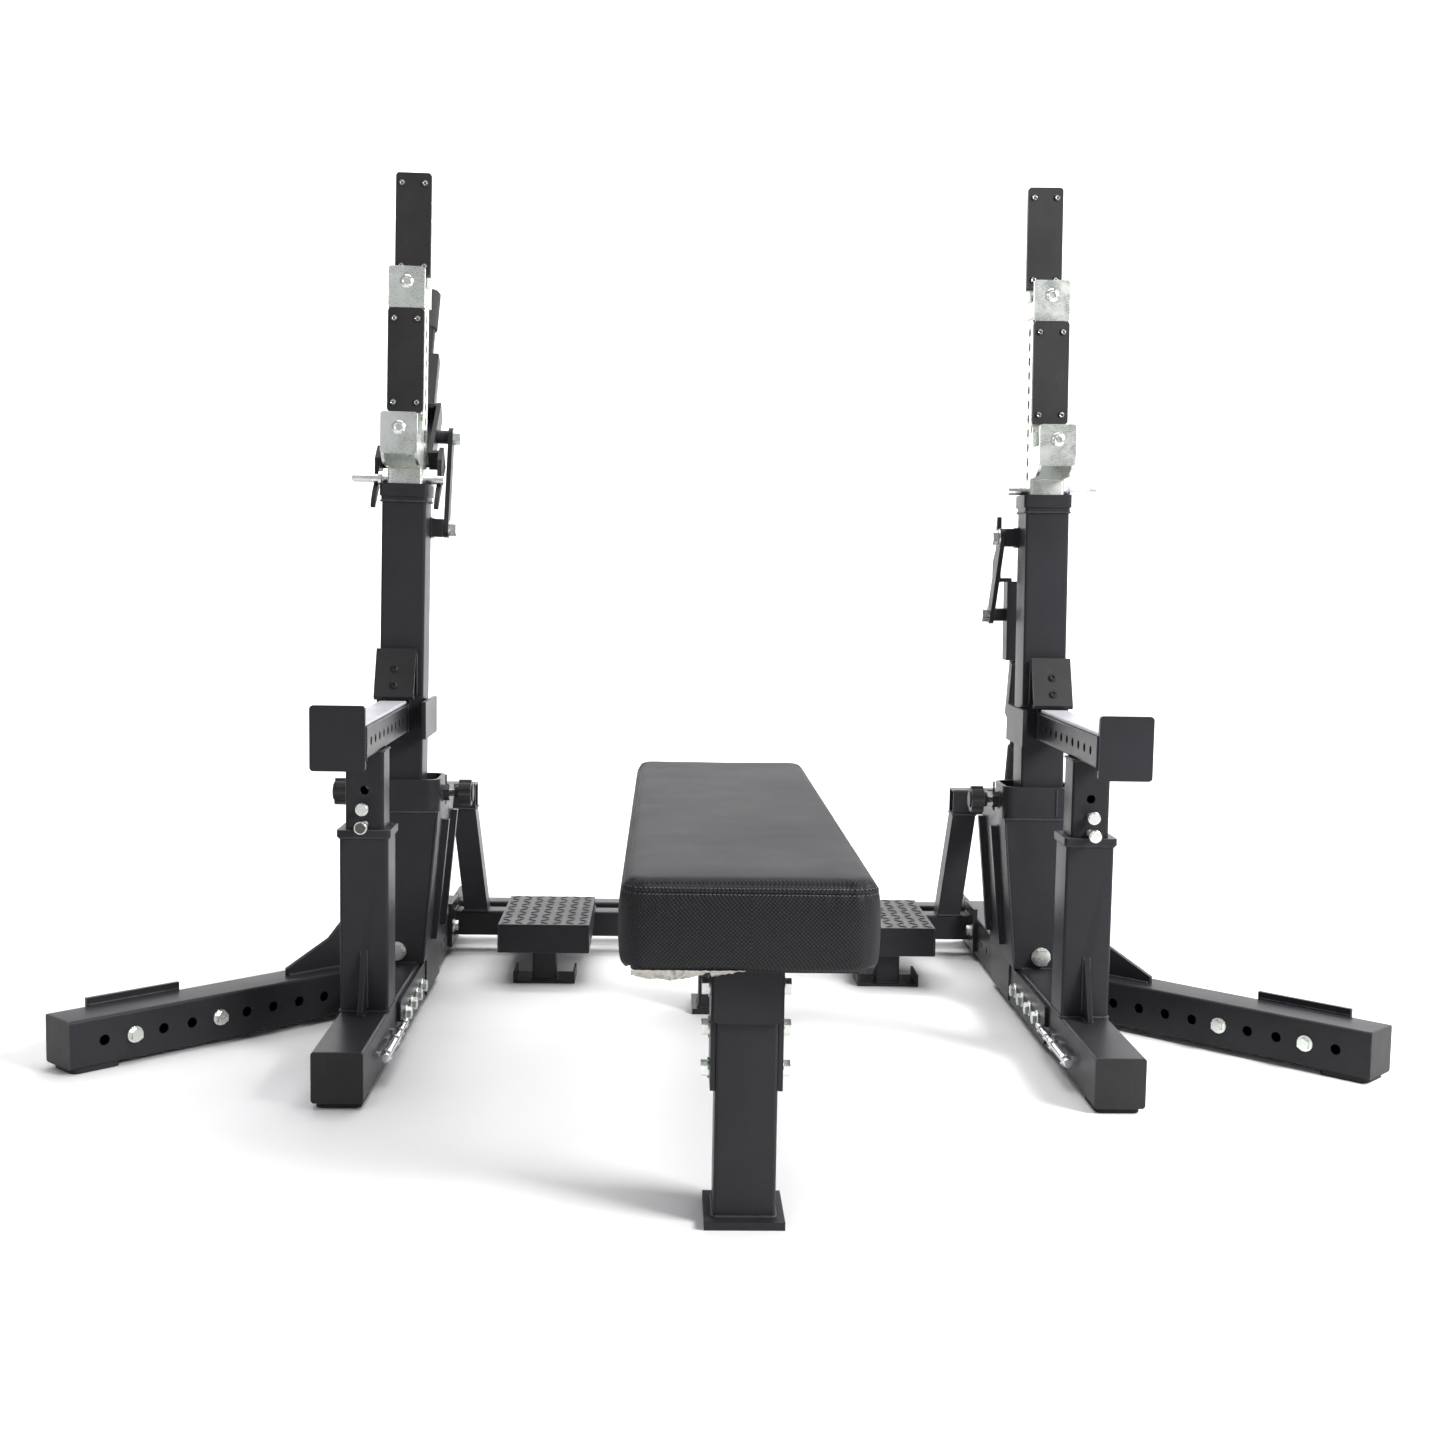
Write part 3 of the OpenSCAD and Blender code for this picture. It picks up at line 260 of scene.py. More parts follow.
def diamond(nt, co, pitch, upright):
    """Small raised diamonds, on upright faces or on level ones."""
    sep = nt.nodes.new("ShaderNodeSeparateXYZ")
    nt.links.new(co, sep.inputs[0])
    x, y, z = sep.outputs
    k = 2 * math.pi / pitch
    around = maths(nt, "ADD", maths(nt, "ABSOLUTE", x), y)
    a, b = (around, z) if upright else (x, y)
    wa = maths(nt, "SINE", maths(nt, "MULTIPLY", a, k))
    wb = maths(nt, "SINE", maths(nt, "MULTIPLY", b, k))
    return maths(nt, "MULTIPLY", wa, wb)


def vinyl(name, base, light, upright):
    """Upholstery vinyl with a fine embossed weave whose raised diamonds carry a painted highlight, soft
    wrinkles and a little polish from use.
    """
    m, nt, b, co = start(name)
    blotch = tex(nt, co, 6.0, 5.0, 0.6)
    fine = tex(nt, co, 1300.0, 2.0, 0.6)
    crease = tex(nt, co, 26.0, 6.0, 0.7, (1.0, 0.5, 1.0), 1.5)
    weave = diamond(nt, co, WEAVE_PITCH, upright)
    col = ramp(nt, blotch, [(0.3, base), (0.72, light)])
    rub = ramp(nt, crease, [(0.60, (0.0,)), (0.75, (1.0,))])
    col = mix(nt, maths(nt, "MULTIPLY", rub, 0.22), col, tuple(c * 1.8 for c in light))
    # painted highlight: the raised diamonds of the weave are mixed towards a lighter colour
    painted_dot_highlight = span(nt, weave, 0.0, DOT_HIGHLIGHT_SIDE if upright else DOT_HIGHLIGHT_TOP, 0.0, 0.8)
    col = mix(nt, painted_dot_highlight, col, tuple(c * 3.2 for c in light))
    nt.links.new(col, b.inputs["Base Color"])
    nt.links.new(span(nt, blotch, 0.50, 0.62), b.inputs["Roughness"])
    skin(b, COAT_SIDE if upright else COAT_TOP, 0.42)
    relief = RELIEF_SIDE if upright else RELIEF_TOP
    bump(nt, b, [(crease, 0.06, 0.0012), (weave, relief, 0.0006), (fine, 0.1, 0.00015)])
    return m


# bands of a Wave texture repeat every 1 / (3.183 * scale) of a metre
THREAD_PITCH = 0.0018
THREAD_BANDS = 1.0 / THREAD_PITCH / 3.183


def threaded(name, axis):
    """Zinc-plated screw thread along an axis."""
    m, nt, b, co = start(name)
    w = wave(nt, co, axis, THREAD_BANDS, "TRI")
    cloud = tex(nt, co, 40.0, 3.0, 0.6)
    col = ramp(nt, cloud, [(0.3, (0.66, 0.63, 0.50)), (0.7, (0.74, 0.73, 0.70))])
    nt.links.new(col, b.inputs["Base Color"])
    b.inputs["Metallic"].default_value = 1.0
    nt.links.new(span(nt, cloud, 0.24, 0.36), b.inputs["Roughness"])
    bump(nt, b, [(w, 0.9, 0.0009)])
    return m


def cloth_back(name, dark):
    """Backing cloth: black under the pad, pale where the lining is torn."""
    m, nt, b, co = start(name)
    blotch = tex(nt, co, 22.0, 6.0, 0.7, None, 1.0)
    w1, w2 = wave(nt, co, "X", 160.0), wave(nt, co, "Y", 160.0)
    if dark:
        tones = [(0.32, (0.014, 0.014, 0.014)), (0.55, (0.024, 0.023, 0.023)),
                 (0.72, (0.04, 0.038, 0.036))]
    else:
        tones = [(0.32, (0.24, 0.23, 0.20)), (0.50, (0.50, 0.48, 0.44)),
                 (0.64, (0.07, 0.066, 0.06))]
    nt.links.new(ramp(nt, blotch, tones), b.inputs["Base Color"])
    nt.links.new(span(nt, blotch, 0.8, 0.95), b.inputs["Roughness"])
    bump(nt, b, [(blotch, 0.5, 0.002), (maths(nt, "MULTIPLY", w1, w2), 0.5, 0.0005)])
    return m


def knurled_rubber(name):
    """Black rubber with a raised knurl that runs slantwise round the grip."""
    m, nt, b, co = start(name)
    mp = nt.nodes.new("ShaderNodeMapping")
    mp.inputs["Rotation"].default_value = (0.3, 0.8, 0.5)
    nt.links.new(co, mp.inputs[0])
    w1 = wave(nt, mp.outputs[0], "X", 95.0)
    w2 = wave(nt, mp.outputs[0], "Y", 95.0)
    cloud = tex(nt, co, 30.0, 5.0, 0.7)
    col = ramp(nt, cloud, [(0.3, (0.012, 0.012, 0.013)), (0.7, (0.028, 0.027, 0.028))])
    nt.links.new(col, b.inputs["Base Color"])
    nt.links.new(span(nt, cloud, 0.55, 0.75), b.inputs["Roughness"])
    bump(nt, b, [(maths(nt, "MULTIPLY", w1, w2), 0.7, 0.0012), (cloud, 0.2, 0.0004)])
    return m


MAT = {
    "powder_coat": powder("powder_coat", (0.019, 0.0186, 0.0214), (0.026, 0.0255, 0.0295),
                          (0.085, 0.083, 0.092), 0.36),
    # lighter copy for the rounded edges: edge wear and a painted highlight
    "powder_edge": powder("powder_edge", (0.050, 0.049, 0.057), (0.085, 0.083, 0.092),
                          (0.24, 0.235, 0.25), 0.33),
    "weld_bead": powder("weld_bead", (0.030, 0.029, 0.034), (0.060, 0.058, 0.066),
                        (0.17, 0.165, 0.18), 0.30),
    "zinc_plate": plated("zinc_plate", (0.77, 0.80, 0.785), (0.74, 0.77, 0.72), 0.27),
    # lighter copy for the rounded edges: edge wear and a painted highlight
    "zinc_edge": plated("zinc_edge", (0.88, 0.88, 0.87), (0.89, 0.89, 0.84), 0.22),
    "zinc_weld": plated("zinc_weld", (0.60, 0.58, 0.50), (0.52, 0.48, 0.34), 0.36),
    "chrome": plated("chrome", (0.88, 0.88, 0.90), (0.82, 0.83, 0.86), 0.14),
    "rubber": moulded("rubber", (0.014, 0.014, 0.014), (0.026, 0.025, 0.025), 0.70, 700.0, 0.5),
    "grip": knurled_rubber("grip"),
    "black_plastic": moulded("black_plastic", (0.013, 0.013, 0.014), (0.024, 0.023, 0.024), 0.44),
    # lighter copy for the rounded edges: edge wear and a painted highlight
    "plastic_edge": moulded("plastic_edge", (0.035, 0.035, 0.037), (0.06, 0.06, 0.062), 0.38),
    "liner": moulded("liner", (0.40, 0.40, 0.43), (0.52, 0.51, 0.55), 0.42, 900.0, 0.2,
                     (1.0, 0.2, 1.0)),
    "board": cloth_back("board", True),
    "lining": cloth_back("lining", False),
    # one vinyl in two copies: a lighter one for the level top and a darker one for the upright sides
    # and the welt, as painted light and painted shade
    "vinyl_top_painted_light": vinyl("vinyl_top_painted_light", (0.019, 0.019, 0.0215), (0.026, 0.0255, 0.029), False),
    "vinyl_side_painted_shade": vinyl("vinyl_side_painted_shade", (0.0095, 0.0095, 0.0105), (0.015, 0.015, 0.0165), True),
    # the thread is coloured much lighter than the vinyl: painted glints along the seam
    "thread": moulded("thread", (0.07, 0.07, 0.073), (0.13, 0.13, 0.135), 0.5, 1500.0, 0.6),
    # dark metal: the blackened wear-plate screws, and a painted dark reflection on the left arm's bolt
    # heads
    "dark_steel_and_painted_reflection": plated("dark_steel_and_painted_reflection", (0.10, 0.105, 0.11), (0.13, 0.13, 0.12), 0.30),
    "rod_x": threaded("rod_x", "X"),
    "rod_y": threaded("rod_y", "Y"),
}

# ---------------------------------------------------------------- finish of the CAD nodes
GROUPS = {
    "powder_coat": ["base_rail", "front_post", "housing", "stabiliser_leg", "platform", "column",
                    "link", "lever", "safety_arm", "rear_hoop", "rear_crossmember",
                    "splice_plates", "bench_frame"],
    "zinc_plate": ["inner_tube", "hooks", "hook_screws", "lock_pin", "arm_bolts", "frame_bolts",
                   "pivot_bolts", "bench_bolts"],
    "chrome": ["roller_upper", "roller_lower", "spare_pins", "pin_clips"],
    "rubber": ["rubber_feet"],
    "grip": ["grip"],
    "black_plastic": ["hook_plates", "arm_guard", "knob_inner", "knob_outer", "tube_caps"],
    "liner": ["arm_liner"],
    "board": ["pad_board"],
}
# material of the rounded edges, where it differs from that of the faces: a lighter copy, partly edge
# wear and partly a painted highlight along every edge
EDGES = {"powder_coat": "powder_edge", "zinc_plate": "zinc_edge", "black_plastic": "plastic_edge"}
# width of the rounded edges in mm
EDGE_WIDTH = 0.7
BEVELS = {"base_rail": 0.6, "front_post": 0.8, "hook_plates": 1.2, "arm_guard": 1.2}


def stem(name):
    """A node's name without its side."""
    for end in ("_left", "_right"):
        if name.endswith(end):
            return name[:-len(end)]
    return name


def finish_node(obj, mat_name, width):
    """Gives a CAD node its material, and rounded edges that catch the light, in a lighter material that
    is partly edge wear and partly a painted highlight.
    """
    me = obj.data
    if "custom_normal" in me.attributes:
        me.attributes.remove(me.attributes["custom_normal"])
    me.materials.clear()
    me.materials.append(MAT[mat_name])
    me.materials.append(MAT[EDGES.get(mat_name, mat_name)])
    for p in me.polygons:
        p.material_index = 0
        p.use_smooth = True
    weld = obj.modifiers.new("weld", "WELD")
    weld.merge_threshold = 0.00002
    flat = obj.modifiers.new("flat", "DECIMATE")
    flat.decimate_type = "DISSOLVE"
    flat.angle_limit = math.radians(0.6)
    bev = obj.modifiers.new("edge", "BEVEL")
    bev.width = width * MM
    bev.segments = 2
    bev.limit_method = "ANGLE"
    bev.angle_limit = math.radians(32)
    bev.harden_normals = True
    bev.material = 1
    bev.miter_outer = "MITER_ARC"


for group_mat, stems in GROUPS.items():
    for node_name, node_obj in NODES.items():
        if stem(node_name) in stems:
            finish_node(node_obj, group_mat, BEVELS.get(stem(node_name), EDGE_WIDTH))


def paint_where(node_name, mat_name, test):
    """Gives another material to the faces whose middle, in mm and on the right, passes the test."""
    me = NODES[node_name].data
    me.materials.append(MAT[mat_name])
    slot_at = len(me.materials) - 1
    for p in me.polygons:
        c = p.center / MM
        if test(abs(c.x), c.y + MIDDLE / MM, c.z):
            p.material_index = slot_at


def from_knob_axis(y, z):
    """Distance from the axis of the knobs."""
    return math.hypot(y - COLUMN_Y, z - KNOB_Z)


def from_arm_bolt(x, z):
    """Distance from the axis of the nearer bolt of the safety arm."""
    bolt_z = ARM_BOLT_LOW if z < (ARM_BOLT_LOW + ARM_BOLT_HIGH) / 2 else ARM_BOLT_HIGH
    return math.hypot(x - RAIL_X, z - bolt_z)


for side_name in ("left", "right"):
    # threads of the knobs and of the arm's stop bolts
    paint_where("knob_inner_" + side_name, "rod_x",
                lambda x, y, z: from_knob_axis(y, z) < KNOB_ROD_R and x > KNOB_INNER_X)
    paint_where("knob_outer_" + side_name, "rod_x",
                lambda x, y, z: from_knob_axis(y, z) < KNOB_ROD_R and x < KNOB_OUTER_X)
    paint_where("arm_bolts_" + side_name, "rod_y",
                lambda x, y, z: abs(from_arm_bolt(x, z) - ARM_BOLT_R) < 0.4)
    # nuts and washers on the bench side of the link
    paint_where("link_" + side_name, "zinc_plate",
                lambda x, y, z: x + (z - PIVOT_Z) * math.sin(LEAN) < LINK_BAR_X)
    # screws of the wear plates are blackened, the roller axles are not
    paint_where("hook_screws_" + side_name, "dark_steel_and_painted_reflection",
                lambda x, y, z: min(abs(z - ROLLER_LOW), abs(z - ROLLER_HIGH)) > ROLLER_REACH)

# front faces of the left arm's bolt heads are made dark: a painted dark reflection on the zinc bolts
paint_where("arm_bolts_left", "dark_steel_and_painted_reflection",
            lambda x, y, z: from_arm_bolt(x, z) < ARM_HEAD_R and y < ARM_HEAD_Y)


# ---------------------------------------------------------------- mesh helpers
def add_mesh(name, verts, faces, mats, body):
    """A new piece from laid-out points, moved to the frame's origin and riding on a body."""
    me = bpy.data.meshes.new(name)
    me.from_pydata([(v[0], v[1] - MIDDLE, v[2]) for v in verts], [], faces)
    me.update()
    bm = bmesh.new()
    bm.from_mesh(me)
    bmesh.ops.recalc_face_normals(bm, faces=bm.faces)
    bm.to_mesh(me)
    bm.free()
    for m in mats:
        me.materials.append(MAT[m])
    for p in me.polygons:
        p.use_smooth = True
    obj = bpy.data.objects.new(name, me)
    bpy.context.scene.collection.objects.link(obj)
    if body:
        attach(obj, body)
    return obj


def resample(points, step, closed=False):
    """Points about a step apart along a path."""
    pts = list(points) + ([points[0]] if closed else [])
    out = []
    for a, b in zip(pts, pts[1:]):
        n = max(1, int(round((b - a).length / step)))
        out += [a.lerp(b, i / n) for i in range(n)]
    if not closed:
        out.append(pts[-1])
    return out


def bead_mesh(paths, radius, ripple, step=0.0018, sides=8, closed=False):
    """Weld beads: a tube along each path, rippled like a row of overlapping coins."""
    verts, faces = [], []
    for path in paths:
        pts = resample(path, step, closed)
        n = len(pts)
        first = len(verts)
        for i, p in enumerate(pts):
            before = pts[i - 1] if (i or closed) else pts[0]
            after = pts[(i + 1) % n] if (i < n - 1 or closed) else pts[-1]
            t = (after - before)
            t = t.normalized() if t.length > 1e-9 else Vector((1, 0, 0))
            up = Vector((0, 0, 1)) if abs(t.z) < 0.9 else Vector((0, 1, 0))
            u = t.cross(up).normalized()
            w = t.cross(u)
            saw = (i % 3) / 3.0
            unevenness = noise.noise(p * 90.0) * 0.25
            r = radius * (1 + ripple * (saw - 0.4) + unevenness)
            if not closed and i in (0, n - 1):
                r *= 0.35
            for k in range(sides):
                a = 2 * math.pi * k / sides
                verts.append(p + (u * math.cos(a) + w * math.sin(a)) * r)
        rings = n if closed else n - 1
        for i in range(rings):
            for k in range(sides):
                a0, b0 = first + i * sides, first + ((i + 1) % n) * sides
                faces.append((a0 + k, a0 + (k + 1) % sides, b0 + (k + 1) % sides, b0 + k))
        if not closed:
            faces.append(tuple(first + k for k in range(sides)))
            faces.append(tuple(first + (n - 1) * sides + k for k in reversed(range(sides))))
    return verts, faces


def ring(cx, cy, z, half_x, half_y, r=5.0, seg=4):
    """Rounded rectangle around a tube, at one height."""
    pts = []
    for sx, sy, a0 in ((1, 1, 0), (-1, 1, 90), (-1, -1, 180), (1, -1, 270)):
        for i in range(seg + 1):
            a = math.radians(a0 + 90 * i / seg)
            pts.append((cx + sx * (half_x - r) + r * math.cos(a),
                        cy + sy * (half_y - r) + r * math.sin(a), z))
    return pts


def circle_x(x, y, z, r, n=20):
    """Circle about an axis along x."""
    return [(x, y + r * math.cos(2 * math.pi * i / n), z + r * math.sin(2 * math.pi * i / n))
            for i in range(n)]


def box_x(x, y0, y1, z0, z1):
    """Square loop about an axis along x."""
    return [(x, y0, z0), (x, y0, z1), (x, y1, z1), (x, y1, z0)]


def box_y(y, x0, x1, z0, z1):
    """Square loop about an axis along y."""
    return [(x0, y, z0), (x1, y, z0), (x1, y, z1), (x0, y, z1)]


# how much a weld's coins stand out, as a part of its radius
RIPPLE = 0.34
SIDES = ((-1, "left"), (1, "right"))


def beads(name, loops, lines, body, radius, lean=False, mat="weld_bead"):
    """Closed loops and open lines of weld, on both sides, on the frame or on a side's own body."""
    for side, end in SIDES:
        vs, fs = bead_mesh([[place(p, side, lean) for p in lp] for lp in loops], radius * MM, RIPPLE,
                           closed=True)
        line_vs, line_fs = bead_mesh([[place(p, side, lean) for p in ln] for ln in lines],
                                     radius * MM, RIPPLE)
        off = len(vs)
        vs += line_vs
        fs += [tuple(i + off for i in f) for f in line_fs]
        add_mesh(f"{name}_{end}", vs, fs, [mat], body if body == "frame" else f"{body}_{end}")


# ---------------------------------------------------------------- weld beads
def leg_point(along, across, z):
    """A point in the frame of the outer leg, as a point of the right-hand unit."""
    c = math.cos(math.radians(45))
    return (615 + along * c + across * c, 591 - along * c + across * c, 47 + z)


# a bead lies 0.4 to 0.8 mm outside the faces it joins
# side of a rib or gusset, from its middle
RIB = 4.6
# plates of the column housing
HOUSE_FRONT, HOUSE_BACK, HOUSE_OUT = 561.6, 670.0, 612.4
# 50 mm tubes: the hoop's upper rails and the safety arms' bars, and the crossmembers
HOOP_LOW, HOOP_HIGH = 294.0, 344.4
BEAM_IN, BEAM_OUT = 545.6, 596.4
CROSS_LOW, CROSS_HIGH = 35.0, 85.4

beads("weld_post",
      [ring(RAIL_X, POST_Y, RAIL_TOP + 0.6, 38.6, 38.6), ring(RAIL_X, POST_Y, 361.2, 38.8, 38.8)],
      [[(RAIL_X + s * RIB, 227.6, 90), (RAIL_X + s * RIB, 227.6, 183)] for s in (-1, 1)]
      + [[(RAIL_X + s * RIB, 225, RAIL_TOP + 0.8), (RAIL_X + s * RIB, 192, RAIL_TOP + 0.8)]
         for s in (-1, 1)],
      "frame", 2.0)
beads("weld_housing",
      [circle_x(497, COLUMN_Y, KNOB_Z, 14.5), circle_x(623.5, COLUMN_Y, KNOB_Z, 14.5)],
      [[(535, 561.4, RAIL_TOP + 0.8), (608, 561.4, RAIL_TOP + 0.8)],
       [(500, HOUSE_FRONT, 354), (611, HOUSE_FRONT, 354)],
       [(HOUSE_OUT, 562, 88), (HOUSE_OUT, 562, 350)],
       [(523.6, HOUSE_FRONT, 90), (500, HOUSE_FRONT, 346)],
       [(590, HOUSE_FRONT, 358), (590, HOUSE_FRONT, 408)],
       [(526, 611.4, 18), (526, 611.4, 80)],
       [(HOUSE_OUT, HOUSE_BACK, 88), (HOUSE_OUT, HOUSE_BACK, 350)],
       [(498.4, 672, 360), (498.4, 672, 408)]],
      "frame", 1.9)
beads("weld_leg",
      [[(615.6, 537, 85.2), (615.6, 645, 85.2), (615.6, 645, 9.2), (615.6, 537, 9.2)]],
      [[leg_point(12, RIB, 38.6), leg_point(178, RIB, 38.6)],
       [leg_point(12, -RIB, 38.6), leg_point(178, -RIB, 38.6)],
       [leg_point(362, 38.4, 38.6), leg_point(518, 38.4, 38.6)]],
      "frame", 2.4)
beads("weld_rear",
      [ring(484, 1055, RAIL_TOP + 0.8, 24, 25.6, 3), ring(507.5, 1055, HOOP_LOW, 24, 25.6, 3),
       box_x(525, 1029.6, 1080.4, CROSS_LOW, CROSS_HIGH),
       box_x(525, 1129.6, 1180.4, CROSS_LOW, CROSS_HIGH),
       box_y(670.6, BEAM_IN, BEAM_OUT, HOOP_LOW, HOOP_HIGH),
       box_y(1029.5, BEAM_IN, BEAM_OUT, HOOP_LOW, HOOP_HIGH)],
      [], "frame", 2.2)
beads("weld_platform",
      [ring(326, 800, 5.6, 23, 23, 4)],
      [[(x, 749.6, 64), (x, 749.6, 116)] for x in (242, 410)],
      "frame", 1.8)
beads("weld_column",
      [ring(RAIL_X, COLUMN_Y, 894.6, 39.8, 39.8, 6)],
      [[(532.4, 640.5, z), (532.4, 679, z)] for z in (867.4, 834.6)],
      "column", 2.0, True)
beads("weld_hooks",
      [ring(RAIL_X, COLUMN_Y, 1231.4, 30.4, 30.4)],
      [[(x, 586, 954), (x, 586, 1046)] for x in (541.4, 600.6)]
      + [[(x, 586.6, 1222), (x, 586.6, 1231)] for x in (541, 601)]
      + [[(545, 586, 951.6), (597, 586, 951.6)]]
      + [[(541.5, y, 1239.6), (600.5, y, 1239.6)] for y in (588, 665.6)],
      "upright", 1.8, True, "zinc_weld")
beads("weld_arm",
      [ring(RAIL_X, POST_Y, 496.4, 30.5, 30.5), box_y(103.6, BEAM_IN, BEAM_OUT, 496.6, 547.4)],
      [[(517.6, 566, 494), (517.6, 566, 549)],
       [(545.4, 524.4, 498), (545.4, 524.4, 546)],
       [(536.6, 565.6, 560), (536.6, 565.6, 632)]],
      "safety_arm", 1.8)

# the jack at rest, in mm and degrees: its link is raised on the left, and swung down on the right
LINK_FOOT_Y, LINK_FOOT_Z = 665.0, 851.0
LINK_LENGTH = 170.0
LINK_UP, LEVER_UP, LINK_SWING = 74.0, 40.0, 130.0
LEVER_BEND = math.radians(20)
BEND_Y, BEND_Z = 79.0, -3.0


def turned(y, z, angle):
    """A point of a plane, turned about the origin."""
    return y * math.cos(angle) - z * math.sin(angle), y * math.sin(angle) + z * math.cos(angle)


def jack_place(p, side):
    """A point of the bent end of the lever, in its rest place on one side."""
    x, y, z = p
    y, z = turned(y, z, LEVER_BEND)
    swung = 0.0 if side < 0 else LINK_SWING
    link = math.radians(LINK_UP - swung)
    y, z = turned(BEND_Y + y, BEND_Z + z, math.radians(LEVER_UP - swung))
    return place((RAIL_X + x, LINK_FOOT_Y + LINK_LENGTH * math.cos(link) + y,
                  LINK_FOOT_Z + LINK_LENGTH * math.sin(link) + z), side, True)


def jack_loops(side):
    """Welds of the lever: round the foot of its box and round the bar of its grip."""
    box = box_y(7.5, -25, 25, -16, 16)
    angles = [2 * math.pi * i / 18 for i in range(18)]
    bar = [(12.8 * math.cos(t), 120.5, 12.8 * math.sin(t)) for t in angles]
    return [[jack_place(q, side) for q in loop] for loop in (box, bar)]


for side, end in SIDES:
    vs, fs = bead_mesh(jack_loops(side), 1.8 * MM, RIPPLE, closed=True)
    add_mesh("weld_lever_" + end, vs, fs, ["weld_bead"], "lever_" + end)

# welds of the bench frame, at the foot and the head of both legs
loops = []
for leg_y in (-440, 560):
    loops.append([Vector(q) * MM for q in ring(0, leg_y + HALF, 10.6, 38.6, 38.6)])
    loops.append([Vector(q) * MM for q in ring(0, leg_y + HALF, 258.4, 38.5, 38.5)])
vs, fs = bead_mesh(loops, 2.2 * MM, RIPPLE, closed=True)
add_mesh("weld_bench", vs, fs, ["weld_bead"], "bench")


# ---------------------------------------------------------------- diamond tread of the platforms
TREAD_COLS, TREAD_ROWS = 7, 11
TREAD_PITCH_X, TREAD_PITCH_Y = 24.0, 25.2
TREAD_X, TREAD_Y, TREAD_Z = 254.0, 766.0, 117.0
DROP_LENGTH, DROP_WIDTH, DROP_SIDES = 12.0, 3.0, 12
# outline's scale and height of each level of a raised drop
DROP_LEVELS = ((1.0, 0.0), (0.82, 0.9), (0.45, 1.5))


def tread(side, end):
    """Rows of raised drops on the top of a platform, turned one way and the other in turn."""
    vs, fs = [], []
    n = DROP_SIDES
    for i in range(TREAD_COLS):
        for j in range(TREAD_ROWS):
            x = TREAD_X + i * TREAD_PITCH_X
            y = TREAD_Y + j * TREAD_PITCH_Y
            turn = math.radians(45 if (i + j) % 2 else -45)
            first = len(vs)
            for scale, up in DROP_LEVELS:
                for k in range(n):
                    a = 2 * math.pi * k / n
                    ex = DROP_LENGTH * scale * math.cos(a) * abs(math.cos(a)) ** 0.15
                    ey = DROP_WIDTH * scale * math.sin(a)
                    dx, dy = turned(ex, ey, turn)
                    vs.append(place((x + dx, y + dy, TREAD_Z + up), side))
            for level in range(len(DROP_LEVELS) - 1):
                a, b = first + level * n, first + (level + 1) * n
                for k in range(n):
                    fs.append((a + k, a + (k + 1) % n, b + (k + 1) % n, b + k))
            top = first + (len(DROP_LEVELS) - 1) * n
            fs.append(tuple(top + k for k in range(n)))
    add_mesh("tread_" + end, vs, fs, ["powder_coat"], "frame")


for side, end in SIDES:
    tread(side, end)


# ---------------------------------------------------------------- the pad
# half width, front and back, underside and top, in metres
PX, PY0, PY1, PZ0, PZ1 = 0.153, -0.480, 0.740, 0.3186, 0.430
# rounding of the upright corners, the top edge and the lower edge
PAD_R, EDGE_R, LOW_R = 0.030, 0.011, 0.013
SEAM_Z = 0.4165
VOXEL = 0.0052
BOARD_GAP, RECESS_BOTTOM, RECESS_TOP = 0.0009, 0.30, 0.3302
# below HELD_Z the cover is held against the board
HELD_Z, FRAMES, MOST_SWELL = 0.334, 20, 0.006
# rise of the top, where it starts inside the edge, and how soon it is full
CROWN, CROWN_START, CROWN_REACH = 0.0035, 0.004, 0.03
WALL_BULGE = 0.0028
# puckers along the seam, in radians a metre
GATHERS = 420


